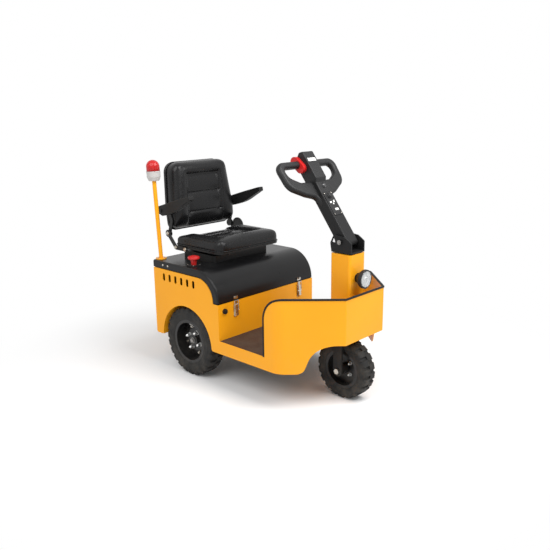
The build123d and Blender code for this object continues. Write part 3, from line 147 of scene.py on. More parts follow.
def grain_group():
    """Fine bump of a sprayed coat or moulded skin, with a second pebbled layer."""
    tree, source, sink = shader_group(
        "surface_grain",
        (("Grain Scale", "NodeSocketFloat", 400.0), ("Grain Depth", "NodeSocketFloat", 0.0002),
         ("Pebble Scale", "NodeSocketFloat", 300.0), ("Pebble Depth", "NodeSocketFloat", 0.0)),
        (("Normal", "NodeSocketVector"),))
    place = add_node(tree, "ShaderNodeTexCoord").outputs["Object"]
    grain = add_node(tree, "ShaderNodeTexNoise", Vector=place, Scale=source.outputs["Grain Scale"], Detail=2.0)
    low = add_node(tree, "ShaderNodeMath", {"operation": "MULTIPLY"}, i0=grain.outputs["Fac"],
                   i1=source.outputs["Grain Depth"])
    pebble = add_node(tree, "ShaderNodeTexVoronoi", {"feature": "SMOOTH_F1"}, Vector=place,
                      Scale=source.outputs["Pebble Scale"])
    high = add_node(tree, "ShaderNodeMath", {"operation": "MULTIPLY"}, i0=pebble.outputs["Distance"],
                    i1=source.outputs["Pebble Depth"])
    height = add_node(tree, "ShaderNodeMath", {"operation": "SUBTRACT"}, i0=low.outputs[0], i1=high.outputs[0])
    bump = add_node(tree, "ShaderNodeBump", Strength=1.0, Distance=1.0, Height=height.outputs[0])
    tree.links.new(bump.outputs["Normal"], sink.inputs["Normal"])
    return tree


def dust_group():
    """Dry road dust that thins out with height above the ground."""
    tree, source, sink = shader_group(
        "road_dust",
        (("Colour", "NodeSocketColor", (0.5, 0.5, 0.5, 1)), ("Dust", "NodeSocketColor", (0.35, 0.3, 0.24, 1)),
         ("Amount", "NodeSocketFloat", 0.2), ("Reach", "NodeSocketFloat", 0.5)),
        (("Colour", "NodeSocketColor"), ("Mask", "NodeSocketFloat")))
    place = add_node(tree, "ShaderNodeTexCoord").outputs["Object"]
    axes = add_node(tree, "ShaderNodeSeparateXYZ", Vector=place)
    height = add_node(tree, "ShaderNodeMapRange", i0=axes.outputs["Z"], i1=0.0, i2=source.outputs["Reach"],
                      i3=1.0, i4=0.0)
    patch = add_node(tree, "ShaderNodeTexNoise", Vector=place, Scale=14.0, Detail=6.0, Roughness=0.65)
    spread = add_node(tree, "ShaderNodeMapRange", i0=patch.outputs["Fac"], i1=0.42, i2=0.75)
    share = add_node(tree, "ShaderNodeMath", {"operation": "MULTIPLY"}, i0=height.outputs[0], i1=spread.outputs[0])
    mask = add_node(tree, "ShaderNodeMath", {"operation": "MULTIPLY"}, i0=share.outputs[0],
                    i1=source.outputs["Amount"])
    colour = add_node(tree, "ShaderNodeMix", {"data_type": "RGBA"}, i0=mask.outputs[0],
                      i6=source.outputs["Colour"], i7=source.outputs["Dust"])
    tree.links.new(colour.outputs["Result"], sink.inputs["Colour"])
    tree.links.new(mask.outputs[0], sink.inputs["Mask"])
    return tree


UNEVEN = uneven_group()
GRAIN = grain_group()
DUST = dust_group()


class Finish(NamedTuple):
    """One finish: colours in linear light, gloss, grain and dust."""
    colour: tuple
    shade: tuple
    gloss: float
    spread: float
    cloud_scale: float = 5.0
    cloud: float = 0.4
    grain_scale: float = 500.0
    grain_depth: float = 0.0001
    pebble_scale: float = 400.0
    pebble_depth: float = 0.0
    dust: float = 0.0
    reach: float = 0.6
    metallic: float = 0.0
    coat: float = 0.0
    specular: float = 0.5


FINISHES = {
    "yellow_paint": Finish((0.85, 0.36, 0.009), (0.79, 0.318, 0.008), 0.36, 0.12, 3.0, 0.5, 220.0, 0.00006,
                           dust=0.08, reach=0.45, coat=0.05, specular=0.2),
    "frame_paint": Finish((0.010, 0.010, 0.010), (0.016, 0.016, 0.015), 0.5, 0.2, dust=0.2, reach=0.7,
                          specular=0.3),
    "motor_paint": Finish((0.03, 0.031, 0.033), (0.05, 0.048, 0.045), 0.55, 0.2, 18.0, 0.6, 260.0, 0.0004,
                          dust=0.4, reach=0.6),
    "battery_case": Finish((0.03, 0.03, 0.032), (0.045, 0.044, 0.042), 0.6, 0.1, pebble_depth=0.0003),
    "lid_paint": Finish((0.006, 0.006, 0.0065), (0.009, 0.009, 0.009), 0.3, 0.1, 4.0, 0.5, 900.0, 0.00008,
                        specular=0.24),
    "bare_steel": Finish((0.6, 0.57, 0.52), (0.42, 0.36, 0.28), 0.28, 0.16, 30.0, 0.5, metallic=1.0),
    "chrome": Finish((0.74, 0.74, 0.73), (0.6, 0.6, 0.58), 0.4, 0.1, 40.0, 0.3, metallic=1.0),
    # Darker copy of the bare steel, with a duller gloss: painted shade for the hub and pivot nuts that sit in shadow.
    "steel_painted_shade": Finish((0.34, 0.33, 0.32), (0.25, 0.24, 0.22), 0.5, 0.14, 40.0, 0.4, metallic=1.0),
    "fork_paint": Finish((0.010, 0.010, 0.0105), (0.014, 0.014, 0.0135), 0.44, 0.14, 8.0, 0.5, 700.0, 0.00012,
                         dust=0.18, reach=0.4, specular=0.18),
    "black_plastic": Finish((0.009, 0.009, 0.0095), (0.014, 0.014, 0.014), 0.46, 0.1, 6.0, 0.4, 1200.0, 0.0001,
                            900.0, 0.00012, specular=0.3),
    "red_plastic": Finish((0.52, 0.016, 0.015), (0.43, 0.010, 0.010), 0.3, 0.08, 12.0, 0.4, coat=0.1,
                          specular=0.3),
    "seat_steel": Finish((0.008, 0.008, 0.008), (0.013, 0.013, 0.012), 0.4, 0.15, 10.0, 0.5, specular=0.3),
    "seat_vinyl": Finish((0.006, 0.006, 0.0065), (0.009, 0.009, 0.0095), 0.27, 0.12, 9.0, 0.5, 1500.0, 0.00005,
                         620.0, 0.00018, specular=0.26),
    "seat_shell": Finish((0.008, 0.008, 0.008), (0.012, 0.012, 0.012), 0.5, 0.1, pebble_scale=700.0,
                         pebble_depth=0.0002, specular=0.3),
    "armrest_foam": Finish((0.006, 0.006, 0.006), (0.009, 0.009, 0.009), 0.52, 0.1, pebble_scale=800.0,
                           pebble_depth=0.00018, specular=0.25),
    "beacon_white": Finish((0.48, 0.465, 0.45), (0.42, 0.405, 0.39), 0.34, 0.08, 16.0, 0.4),
    "tyre": Finish((0.011, 0.0108, 0.0105), (0.017, 0.0165, 0.0155), 0.72, 0.14, 12.0, 0.6, 650.0, 0.0003,
                   dust=0.16, reach=0.5, specular=0.3),
    "rim_paint": Finish((0.006, 0.006, 0.0065), (0.010, 0.0097, 0.0093), 0.32, 0.14, 12.0, 0.5, dust=0.1, reach=0.4,
                        specular=0.4),
    "trim_rubber": Finish((0.008, 0.008, 0.008), (0.013, 0.013, 0.013), 0.6, 0.1, 30.0, 0.4, 900.0, 0.0002,
                          specular=0.25),
    "thread": Finish((0.03, 0.03, 0.032), (0.05, 0.05, 0.05), 0.7, 0.1, 300.0, 0.5),
    "label_white": Finish((0.78, 0.78, 0.76), (0.68, 0.67, 0.64), 0.45, 0.08, 40.0, 0.4),
    "gauge_glass": Finish((0.006, 0.006, 0.007), (0.01, 0.01, 0.012), 0.12, 0.05, 20.0, 0.3, coat=0.6),
}


def rgba(colour):
    """Opaque colour for a socket."""
    return (*colour, 1.0)


def finish_material(name, look):
    """Material with cloud, dust, gloss and grain from the shared groups."""
    material = bpy.data.materials.new(name)
    material.use_nodes = True
    tree = material.node_tree
    shader = tree.nodes["Principled BSDF"]
    uneven = add_node(tree, "ShaderNodeGroup", {"node_tree": UNEVEN}, Colour=rgba(look.colour),
                      Shade=rgba(look.shade), Cloud_Scale=look.cloud_scale, Cloud_Amount=look.cloud,
                      Gloss=look.gloss, Gloss_Spread=look.spread)
    colour = uneven.outputs["Colour"]
    if look.dust > 0:
        dust = add_node(tree, "ShaderNodeGroup", {"node_tree": DUST}, Colour=colour, Amount=look.dust,
                        Reach=look.reach)
        colour = dust.outputs["Colour"]
    grain = add_node(tree, "ShaderNodeGroup", {"node_tree": GRAIN}, Grain_Scale=look.grain_scale,
                     Grain_Depth=look.grain_depth, Pebble_Scale=look.pebble_scale,
                     Pebble_Depth=look.pebble_depth)
    tree.links.new(colour, shader.inputs["Base Color"])
    tree.links.new(uneven.outputs["Roughness"], shader.inputs["Roughness"])
    tree.links.new(grain.outputs["Normal"], shader.inputs["Normal"])
    shader.inputs["Metallic"].default_value = look.metallic
    shader.inputs["Coat Weight"].default_value = look.coat
    shader.inputs["Coat Roughness"].default_value = 0.12
    shader.inputs["Specular IOR Level"].default_value = look.specular
    return material


MATERIALS = {name: finish_material(name, look) for name, look in FINISHES.items()}


def mat_rubber():
    """Brown ribbed rubber of the footwell mat."""
    look = Finish((0.058, 0.033, 0.022), (0.042, 0.024, 0.016), 0.74, 0.14, 7.0, 0.6, dust=0.15, reach=0.6,
                  specular=0.2)
    material = finish_material("mat_rubber", look)
    tree = material.node_tree
    shader = tree.nodes["Principled BSDF"]
    place = add_node(tree, "ShaderNodeTexCoord").outputs["Object"]
    ribs = add_node(tree, "ShaderNodeTexWave", {"bands_direction": "X", "wave_profile": "SIN"}, Vector=place,
                    Scale=26.0)
    bump = add_node(tree, "ShaderNodeBump", Strength=0.5, Distance=0.0012, Height=ribs.outputs["Fac"])
    tree.links.new(bump.outputs["Normal"], shader.inputs["Normal"])
    return material


def lamp_glass():
    """Clear glass of the headlamp, with pressed flutes in its surface."""
    material = bpy.data.materials.new("lamp_glass")
    material.use_nodes = True
    tree = material.node_tree
    shader = tree.nodes["Principled BSDF"]
    place = add_node(tree, "ShaderNodeTexCoord").outputs["Object"]
    flutes = add_node(tree, "ShaderNodeTexWave", {"bands_direction": "Y"}, Vector=place, Scale=30.0)
    bump = add_node(tree, "ShaderNodeBump", Strength=0.4, Distance=0.001, Height=flutes.outputs["Fac"])
    tree.links.new(bump.outputs["Normal"], shader.inputs["Normal"])
    shader.inputs["Base Color"].default_value = (0.96, 0.97, 0.97, 1)
    shader.inputs["Roughness"].default_value = 0.06
    shader.inputs["Transmission Weight"].default_value = 0.9
    shader.inputs["IOR"].default_value = 1.45
    return material


def beacon_red():
    """Tinted beacon plastic, a little lit through, with darker moulding clouds."""
    look = Finish((0.50, 0.014, 0.013), (0.40, 0.008, 0.008), 0.22, 0.08, 22.0, 0.5, coat=0.1, specular=0.3)
    material = finish_material("beacon_red", look)
    material.node_tree.nodes["Principled BSDF"].inputs["Subsurface Weight"].default_value = 0.15
    return material


MATERIALS["mat_rubber"] = mat_rubber()
MATERIALS["lamp_glass"] = lamp_glass()
MATERIALS["beacon_red"] = beacon_red()

for part in frame["record"]["subparts"]:
    for slot in frame["nodes"][part["node"]].material_slots:
        slot.material = MATERIALS[part["material_slot"]]


# Mesh helpers


def link_mesh(name, mesh, material=None, smooth=True):
    """Object at the origin that holds a finished mesh."""
    if material is not None:
        mesh.materials.clear()
        mesh.materials.append(material)
    mesh.polygons.foreach_set("use_smooth", [smooth] * len(mesh.polygons))
    piece = bpy.data.objects.new(name, mesh)
    SCENE.collection.objects.link(piece)
    return piece


def mesh_of(name, points, faces, edges=()):
    """Mesh from points and faces."""
    mesh = bpy.data.meshes.new(name)
    mesh.from_pydata([tuple(point) for point in points], list(edges), list(faces))
    mesh.update()
    return mesh


def tidy_normals(mesh):
    """Merge doubles and turn every face outwards."""
    work = bmesh.new()
    work.from_mesh(mesh)
    bmesh.ops.remove_doubles(work, verts=work.verts, dist=0.00001)
    bmesh.ops.recalc_face_normals(work, faces=work.faces)
    work.to_mesh(mesh)
    work.free()
    return mesh


def settle(piece, body, slot, *nodes):
    """Ride a piece on its body and hide the solids that it stands for; its slot is not used."""
    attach(piece, body)
    if nodes:
        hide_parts(*nodes)
    return piece


def evaluated_mesh(piece):
    """Plain mesh of an object with its modifiers applied."""
    graph = bpy.context.evaluated_depsgraph_get()
    return bpy.data.meshes.new_from_object(piece.evaluated_get(graph))


def lathe(name, profile, turn, segments, closed=False):
    """Mesh of a profile (radius, height) turned round local Z and placed by a matrix."""
    points = []
    for index in range(segments):
        angle = 2 * pi * index / segments
        points += [turn @ Vector((r * cos(angle), r * sin(angle), h)) for r, h in profile]
    count = len(profile)
    faces = []
    for index in range(segments):
        ahead = (index + 1) % segments
        for row in range(count if closed else count - 1):
            above = (row + 1) % count
            faces.append((index * count + row, ahead * count + row, ahead * count + above, index * count + above))
    return tidy_normals(mesh_of(name, points, faces))


def softened(points, rounds=2):
    """Open line with its corners cut, end points kept."""
    for _ in range(rounds):
        line = [points[0]]
        for near, far in zip(points, points[1:]):
            line.append(tuple(0.75 * a + 0.25 * b for a, b in zip(near, far)))
            line.append(tuple(0.25 * a + 0.75 * b for a, b in zip(near, far)))
        points = line + [points[-1]]
    return points


def slab(name, place, low, high, radius, segments=3):
    """Mesh of a box with rounded edges, in a placed frame."""
    work = bmesh.new()
    bmesh.ops.create_cube(work, size=1.0)
    size = Vector(high) - Vector(low)
    middle = (Vector(high) + Vector(low)) / 2
    for vert in work.verts:
        vert.co = Vector((vert.co.x * size.x, vert.co.y * size.y, vert.co.z * size.z)) + middle
    bmesh.ops.bevel(work, geom=work.edges, offset=radius, segments=segments, affect="EDGES", profile=0.5)
    work.transform(place)
    mesh = bpy.data.meshes.new(name)
    work.to_mesh(mesh)
    work.free()
    return mesh


def joined(name, meshes, material):
    """One object from several meshes of one finish."""
    work = bmesh.new()
    for mesh in meshes:
        work.from_mesh(mesh)
    whole = bpy.data.meshes.new(name)
    work.to_mesh(whole)
    work.free()
    return link_mesh(name, whole, material)


def facing(place, aim, up=(0, 0, 1)):
    """Matrix with its origin at place and local Z along aim."""
    z_axis = Vector(aim).normalized()
    x_axis = Vector(up).cross(z_axis)
    if x_axis.length < 0.001:
        x_axis = Vector((1, 0, 0))
    x_axis.normalize()
    turn = Matrix((x_axis, z_axis.cross(x_axis), z_axis)).transposed()
    return Matrix.Translation(place) @ turn.to_4x4()


# Geometry node trees


def geometry_tree(name, inputs):
    """Empty geometry node tree with named inputs."""
    tree = bpy.data.node_groups.new(name, "GeometryNodeTree")
    tree.interface.new_socket("Geometry", in_out="INPUT", socket_type="NodeSocketGeometry")
    for label, kind in inputs:
        tree.interface.new_socket(label, in_out="INPUT", socket_type=kind)
    tree.interface.new_socket("Geometry", in_out="OUTPUT", socket_type="NodeSocketGeometry")
    return tree, tree.nodes.new("NodeGroupInput"), tree.nodes.new("NodeGroupOutput")


def finish_tree(tree, source, sink, geometry):
    """End a tree in realized geometry with its material."""
    real = add_node(tree, "GeometryNodeRealizeInstances", Geometry=geometry)
    painted = add_node(tree, "GeometryNodeSetMaterial", Geometry=real.outputs[0], Material=source.outputs["Material"])
    tree.links.new(painted.outputs[0], sink.inputs[0])
    return tree


def grown(name, seed, tree, settings, smooth=None):
    """Plain object grown from a seed mesh by a geometry node tree."""
    holder = bpy.data.objects.new(name + "_seed", seed)
    SCENE.collection.objects.link(holder)
    shape = holder.modifiers.new("shape", "NODES")
    shape.node_group = tree
    for item in tree.interface.items_tree:
        if item.in_out == "INPUT" and item.name in settings:
            shape[item.identifier] = settings[item.name]
    mesh = evaluated_mesh(holder)
    bpy.data.objects.remove(holder)
    if smooth is not None:
        mesh.polygons.foreach_set("use_smooth", [smooth] * len(mesh.polygons))
    piece = bpy.data.objects.new(name, mesh)
    SCENE.collection.objects.link(piece)
    return piece


def fastener_tree(name, shapes):
    """Fasteners on points, each turned along the point's aim; shapes are cylinders and domes of unit size."""
    tree, source, sink = geometry_tree(
        name, (("Head Radius", "NodeSocketFloat"), ("Head Height", "NodeSocketFloat"),
               ("Material", "NodeSocketMaterial")))
    join = add_node(tree, "GeometryNodeJoinGeometry")
    for kind, sides, radius, height, lift in shapes:
        if kind == "cylinder":
            solid = add_node(tree, "GeometryNodeMeshCylinder", Vertices=sides, Radius=radius, Depth=height)
            move = add_node(tree, "GeometryNodeTransform", Geometry=solid.outputs[0], Translation=(0, 0, lift))
        else:
            solid = add_node(tree, "GeometryNodeMeshUVSphere", Segments=sides, Rings=sides // 2, Radius=radius)
            round_off = add_node(tree, "GeometryNodeSetShadeSmooth", Geometry=solid.outputs[0])
            move = add_node(tree, "GeometryNodeTransform", Geometry=round_off.outputs[0],
                            Translation=(0, 0, lift), Scale=(1, 1, height))
        tree.links.new(move.outputs[0], join.inputs[0])
    aim = add_node(tree, "GeometryNodeInputNamedAttribute", {"data_type": "FLOAT_VECTOR"}, Name="aim")
    turn = add_node(tree, "FunctionNodeAlignRotationToVector", {"axis": "Z"}, Vector=aim.outputs[0])
    size = add_node(tree, "ShaderNodeCombineXYZ", X=source.outputs["Head Radius"], Y=source.outputs["Head Radius"],
                    Z=source.outputs["Head Height"])
    copies = add_node(tree, "GeometryNodeInstanceOnPoints", Points=source.outputs["Geometry"],
                      Instance=join.outputs[0], Rotation=turn.outputs[0], Scale=size.outputs[0])
    return finish_tree(tree, source, sink, copies.outputs[0])


# Each shape: kind, sides, radius, height, lift, as shares of the head's radius and height
HEX_BOLT = fastener_tree("hex_bolts", (("cylinder", 24, 1.35, 0.3, 0.12), ("cylinder", 6, 1.0, 0.9, 0.55)))
ACORN_NUT = fastener_tree("acorn_nuts", (("cylinder", 28, 1.18, 0.16, 0.08), ("cylinder", 6, 1.08, 0.4, 0.3),
                                         ("dome", 24, 0.97, 0.55, 0.5)))
PAN_SCREW = fastener_tree("pan_screws", (("cylinder", 20, 1.0, 0.4, 0.15), ("dome", 16, 0.97, 0.62, 0.3)))


def fasteners(name, tree, places, radius, height, material, body, slot):
    """Fasteners of one kind on one body; places are (point, aim)."""
    seed = mesh_of(name, [point for point, _ in places], [])
    aims = seed.attributes.new("aim", "FLOAT_VECTOR", "POINT")
    for index, (_, aim) in enumerate(places):
        aims.data[index].vector = aim
    piece = grown(name, seed, tree, {"Head Radius": radius, "Head Height": height, "Material": MATERIALS[material]})
    return settle(piece, body, slot)


def sweep_tree():
    """Rounded strip along a line of edges."""
    tree, source, sink = geometry_tree(
        "swept_strip", (("Width", "NodeSocketFloat"), ("Height", "NodeSocketFloat"), ("Corner", "NodeSocketFloat"),
                        ("Material", "NodeSocketMaterial")))
    line = add_node(tree, "GeometryNodeMeshToCurve", Mesh=source.outputs["Geometry"])
    section = add_node(tree, "GeometryNodeCurvePrimitiveQuadrilateral", Width=source.outputs["Width"],
                       Height=source.outputs["Height"])
    soft = add_node(tree, "GeometryNodeFilletCurve", {"mode": "POLY"}, Curve=section.outputs[0],
                    Radius=source.outputs["Corner"], Count=3)
    strip = add_node(tree, "GeometryNodeCurveToMesh", Curve=line.outputs[0], Profile_Curve=soft.outputs[0],
                     Fill_Caps=True)
    return finish_tree(tree, source, sink, strip.outputs[0])


def ring_tree():
    """Copies of the seed mesh turned round an axle along Y."""
    tree, source, sink = geometry_tree(
        "turned_copies", (("Count", "NodeSocketInt"), ("Phase", "NodeSocketFloat"), ("Centre", "NodeSocketVector"),
                          ("Material", "NodeSocketMaterial")))
    points = add_node(tree, "GeometryNodePoints", Count=source.outputs["Count"])
    index = add_node(tree, "GeometryNodeInputIndex")
    place = add_node(tree, "ShaderNodeMath", {"operation": "ADD"}, i0=index.outputs[0], i1=source.outputs["Phase"])
    share = add_node(tree, "ShaderNodeMath", {"operation": "DIVIDE"}, i0=place.outputs[0], i1=source.outputs["Count"])
    angle = add_node(tree, "ShaderNodeMath", {"operation": "MULTIPLY"}, i0=share.outputs[0], i1=2 * pi)
    turn = add_node(tree, "ShaderNodeCombineXYZ", Y=angle.outputs[0])
    seed = add_node(tree, "GeometryNodeGeometryToInstance", Geometry=source.outputs["Geometry"])
    copies = add_node(tree, "GeometryNodeInstanceOnPoints", Points=points.outputs[0], Instance=seed.outputs[0],
                      Rotation=turn.outputs[0])
    moved = add_node(tree, "GeometryNodeTransform", Geometry=copies.outputs[0], Translation=source.outputs["Centre"])
    return finish_tree(tree, source, sink, moved.outputs[0])


def stitch_tree():
    """Short thread stitches along a line of edges."""
    tree, source, sink = geometry_tree(
        "stitch_row", (("Pitch", "NodeSocketFloat"), ("Length", "NodeSocketFloat"), ("Thickness", "NodeSocketFloat"),
                       ("Material", "NodeSocketMaterial")))
    line = add_node(tree, "GeometryNodeMeshToCurve", Mesh=source.outputs["Geometry"])
    spots = add_node(tree, "GeometryNodeCurveToPoints", {"mode": "LENGTH"}, Curve=line.outputs[0],
                     Length=source.outputs["Pitch"])
    turn = add_node(tree, "FunctionNodeAlignRotationToVector", {"axis": "X"}, Vector=spots.outputs["Tangent"])
    thread = add_node(tree, "GeometryNodeMeshUVSphere", Segments=6, Rings=4, Radius=0.5)
    size = add_node(tree, "ShaderNodeCombineXYZ", X=source.outputs["Length"], Y=source.outputs["Thickness"],
                    Z=source.outputs["Thickness"])
    copies = add_node(tree, "GeometryNodeInstanceOnPoints", Points=spots.outputs["Points"],
                      Instance=thread.outputs[0], Rotation=turn.outputs[0], Scale=size.outputs[0])
    return finish_tree(tree, source, sink, copies.outputs[0])


SWEEP = sweep_tree()
RING = ring_tree()
STITCH = stitch_tree()


def line_mesh(name, points, closed=False):
    """Mesh of edges through points."""
    edges = [(index, index + 1) for index in range(len(points) - 1)]
    if closed:
        edges.append((len(points) - 1, 0))
    return mesh_of(name, points, [], edges)


def strip(name, points, width, height, corner, material, body, slot, closed=False):
    """Rounded strip along points, on one body."""
    piece = grown(name, line_mesh(name, points, closed), SWEEP,
                  {"Width": width, "Height": height, "Corner": corner, "Material": MATERIALS[material]}, True)
    return settle(piece, body, slot)


# Tyres with shoulder lugs


class Tread(NamedTuple):
    """Tyre sizes beside those of its solid."""
    bead_radius: float
    bead_half: float
    lugs: int
    depth: float


REAR_TREAD = Tread(0.120, 0.042, 24, 0.009)
FRONT_TREAD = Tread(0.098, 0.038, 19, 0.009)
SIDEWALL_RING = 0.80
LUG_SHARE = 0.66
LUG_FOOT = 1.2


def tyre_sizes(node):
    """Centre, radius and half width of a tyre's solid."""
    low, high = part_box(node)
    return (low + high) / 2, (high.z - low.z) / 2, (high.y - low.y) / 2


def carcass(node, tread):
    """Tyre body: beads, sidewalls with a raised ring, and the tread's base."""
    centre, radius, half = tyre_sizes(node)
    base = radius - tread.depth
    height = base - tread.bead_radius
    ring = SIDEWALL_RING * radius
    side = [
        (tread.bead_radius, tread.bead_half),
        (tread.bead_radius + 0.1 * height, tread.bead_half + 0.002),
        (tread.bead_radius + 0.3 * height, 0.96 * half),
        (ring - 0.003, 0.982 * half),
        (ring - 0.001, 0.998 * half),
        (ring + 0.003, 0.998 * half),
        (ring + 0.005, 0.985 * half),
        (base - 0.22 * height, 0.975 * half),
        (base - 0.06 * height, 0.9 * half),
        (base, 0.76 * half),
    ]
    outer = softened(side + [(base, 0.3 * half), (base, 0.0)], 2)
    profile = outer + [(r, -y) for r, y in reversed(outer[:-1])]
    axle = facing(centre, (0, 1, 0))
    mesh = lathe(node, profile, axle, 112, True)
    return mesh


def lug_seed(radius, half, tread, side):
    """One shoulder lug at the top of the wheel, from the tread's middle down over the shoulder."""
    pitch = 2 * pi * radius / tread.lugs
    base = radius - tread.depth - 0.004
    # Stations: share of the half width, top radius, share of the length
    stations = (
        (0.0, radius, 1.0), (0.5, radius, 1.0), (0.76, radius - 0.0005, 1.0), (0.86, radius - 0.003, 1.0),
        (0.94, radius - 0.009, 0.98), (0.985, radius - 0.018, 0.94), (0.975, radius - 0.027, 0.86),
    )
    points = []
    for share, top, stretch in stations:
        length = LUG_SHARE * pitch * stretch / 2
        foot = min(base, top - 0.006)
        depth = 0.86 if share > 0.9 else 1.0
        outline = ((-length * LUG_FOOT, foot, depth), (-length, top - 0.0025, 1.0), (-length * 0.9, top, 1.0),
                   (length * 0.9, top, 1.0), (length, top - 0.0025, 1.0), (length * LUG_FOOT, foot, depth))
        for along, reach, inward in outline:
            angle = along / radius
            points.append((reach * sin(angle), side * half * share * inward, reach * cos(angle)))
    faces = []
    for row in range(len(stations) - 1):
        for column in range(5):
            start = row * 6 + column
            faces.append((start, start + 1, start + 7, start + 6))
        faces.append((row * 6, row * 6 + 6, row * 6 + 11, row * 6 + 5))
    last = (len(stations) - 1) * 6
    faces.append((0, 1, 2, 3, 4, 5))
    faces.append(tuple(last + column for column in reversed(range(6))))
    return tidy_normals(mesh_of("lug", points, faces))


def build_tyre(node, body, tread, outer):
    """Tyre with two staggered rows of lugs, a lug of the outer row under the axle, in place of its solid."""
    centre, radius, half = tyre_sizes(node)
    meshes = [carcass(node, tread)]
    for side in (-1, 1):
        phase = (tread.lugs / 2) % 1 + (0.0 if side == outer else 0.5)
        row = grown(node + "_lugs", lug_seed(radius, half, tread, side), RING,
                    {"Count": tread.lugs, "Phase": phase, "Centre": centre, "Material": MATERIALS["tyre"]})
        meshes.append(row.data)
        bpy.data.objects.remove(row)
    piece = joined(node + "_lugged", meshes, MATERIALS["tyre"])
    piece.data.set_sharp_from_angle(angle=radians(40))
    settle(piece, body, "tyre", node)


build_tyre("rear_tyre_right", "rear_wheel_right", REAR_TREAD, -1)
build_tyre("rear_tyre_left", "rear_wheel_left", REAR_TREAD, 1)
build_tyre("front_tyre", "front_wheel", FRONT_TREAD, -1)


# Wheel nuts and rim bolts

REAR_WEB_IN = 0.002
REAR_BOLT_IN = 0.006
REAR_CAP_OUT = 0.016
FRONT_WEB_FACE = 0.003
NUT_CIRCLE = 0.0505
NUT_PHASE = 0.73
RIM_BOLT_CIRCLE = 0.080
BOLT_PHASE = 0.23
FRONT_NUT_CIRCLE = 0.046
# Balance weight on the rim's lip: radius, reach beyond the wheel's middle, angles
WEIGHT_RADIUS = 0.1115
WEIGHT_OUT = 0.041
WEIGHT_ANGLES = (66.0, 71.0, 76.0, 81.0, 86.0)


def circle_places(centre, radius, count, phase, offset, aim_y):
    """Points on a circle round an axle, shifted along it, that aim outwards."""
    places = []
    for index in range(count):
        angle = 2 * pi * (index + phase) / count
        spot = centre + Vector((radius * cos(angle), offset, radius * sin(angle)))
        places.append((spot, (0, aim_y, 0)))
    return places


def wheel_fasteners():
    """Bright nuts, hub nuts, small bolts and balance weights on the three wheels."""
    for name, side in (("right", -1), ("left", 1)):
        body = "rear_wheel_" + name
        centre = tyre_sizes("rear_tyre_" + name)[0]
        fasteners("wheel_nuts_" + name, ACORN_NUT,
                  circle_places(centre, NUT_CIRCLE, 4, NUT_PHASE, -side * REAR_WEB_IN, side),
                  0.0115, 0.032, "chrome", body, "bare_steel")
        fasteners("rim_bolts_" + name, HEX_BOLT,
                  circle_places(centre, RIM_BOLT_CIRCLE, 4, BOLT_PHASE, -side * REAR_BOLT_IN, side),
                  0.0062, 0.010, "bare_steel", body, "bare_steel")
        # Hub nut in the darker steel copy, whose colour is painted shade.
        fasteners("hub_nut_" + name, HEX_BOLT, [(centre + Vector((0, side * REAR_CAP_OUT, 0)), (0, side, 0))],
                  0.0125, 0.012, "steel_painted_shade", body, "bare_steel")
        arc = [centre + Vector((WEIGHT_RADIUS * cos(radians(angle)), side * WEIGHT_OUT,
                                WEIGHT_RADIUS * sin(radians(angle)))) for angle in WEIGHT_ANGLES]
        strip("balance_weight_" + name, arc, 0.006, 0.008, 0.002, "chrome", body, "bare_steel")
    centre = tyre_sizes("front_tyre")[0]
    places = circle_places(centre, FRONT_NUT_CIRCLE, 4, 0.5, -FRONT_WEB_FACE, -1)
    places += circle_places(centre, FRONT_NUT_CIRCLE, 4, 0.5, FRONT_WEB_FACE, 1)
    fasteners("front_nuts", ACORN_NUT, places, 0.0085, 0.022, "chrome", "front_wheel", "bare_steel")


wheel_fasteners()


# Black edge trim round the cowl

COWL_REAR = 0.914
COWL_CORNER = 0.125
COWL_BEND = 1.011
COWL_BEND_R = 0.110
NOSE_HALF = 0.164
NOSE_BEND_R = 0.010
SHEET = 0.004
TRIM = 0.011


def cowl_plan():
    """Mid line of the cowl sheet in plan, as stations (x, y) from the right seam round to the nose's middle."""
    nose = NOSE_X - REAR_X
    slope = atan2(HALF_WIDTH - NOSE_HALF, nose - COWL_BEND)
    inset = SHEET / 2
    line = [(COWL_REAR, -HALF_WIDTH + inset)]
    reach = COWL_BEND_R * tan(slope / 2)
    middle = (COWL_BEND - reach, -HALF_WIDTH + COWL_BEND_R)
    for step in range(7):
        angle = slope * step / 6
        radius = COWL_BEND_R - inset
        line.append((middle[0] + radius * sin(angle), middle[1] - radius * cos(angle)))
    corner = pi / 2 - slope
    reach = NOSE_BEND_R * tan(corner / 2)
    middle = (nose - NOSE_BEND_R, -NOSE_HALF + reach)
    for step in range(5):
        angle = slope + corner * step / 4
        radius = NOSE_BEND_R - inset
        line.append((middle[0] + radius * sin(angle), middle[1] - radius * cos(angle)))
    return line


def plan_y(line, x):
    """Sheet's y at a station, on the right side."""
    for (x_near, y_near), (x_far, y_far) in zip(line, line[1:]):
        if x_near <= x <= x_far:
            return y_near + (y_far - y_near) * (x - x_near) / max(x_far - x_near, 0.00001)
    return line[-1][1]


def edge_trim():
    """Rubber edging from the floor up the cowl's rear edge, along its top and down the other side."""
    plan = cowl_plan()
    right = [at(COWL_REAR, plan[0][1], FLOOR_TOP_Z), at(COWL_REAR, plan[0][1], COWL_TOP_Z - COWL_CORNER)]
    corner_end = COWL_REAR + COWL_CORNER
    for step in range(1, 17):
        angle = pi / 2 * step / 16
        x = COWL_REAR + COWL_CORNER * (1 - cos(angle))
        right.append(at(x, plan_y(plan, x), COWL_TOP_Z - COWL_CORNER * (1 - sin(angle))))
    right += [at(x, y, COWL_TOP_Z) for x, y in plan if x > corner_end]
    left = [Vector((point.x, -point.y, point.z)) for point in reversed(right)]
    strip("cowl_edge_trim", right + left, TRIM, TRIM, 0.0035, "trim_rubber", "chassis", "mat_rubber")


edge_trim()


# Seat and backrest pads


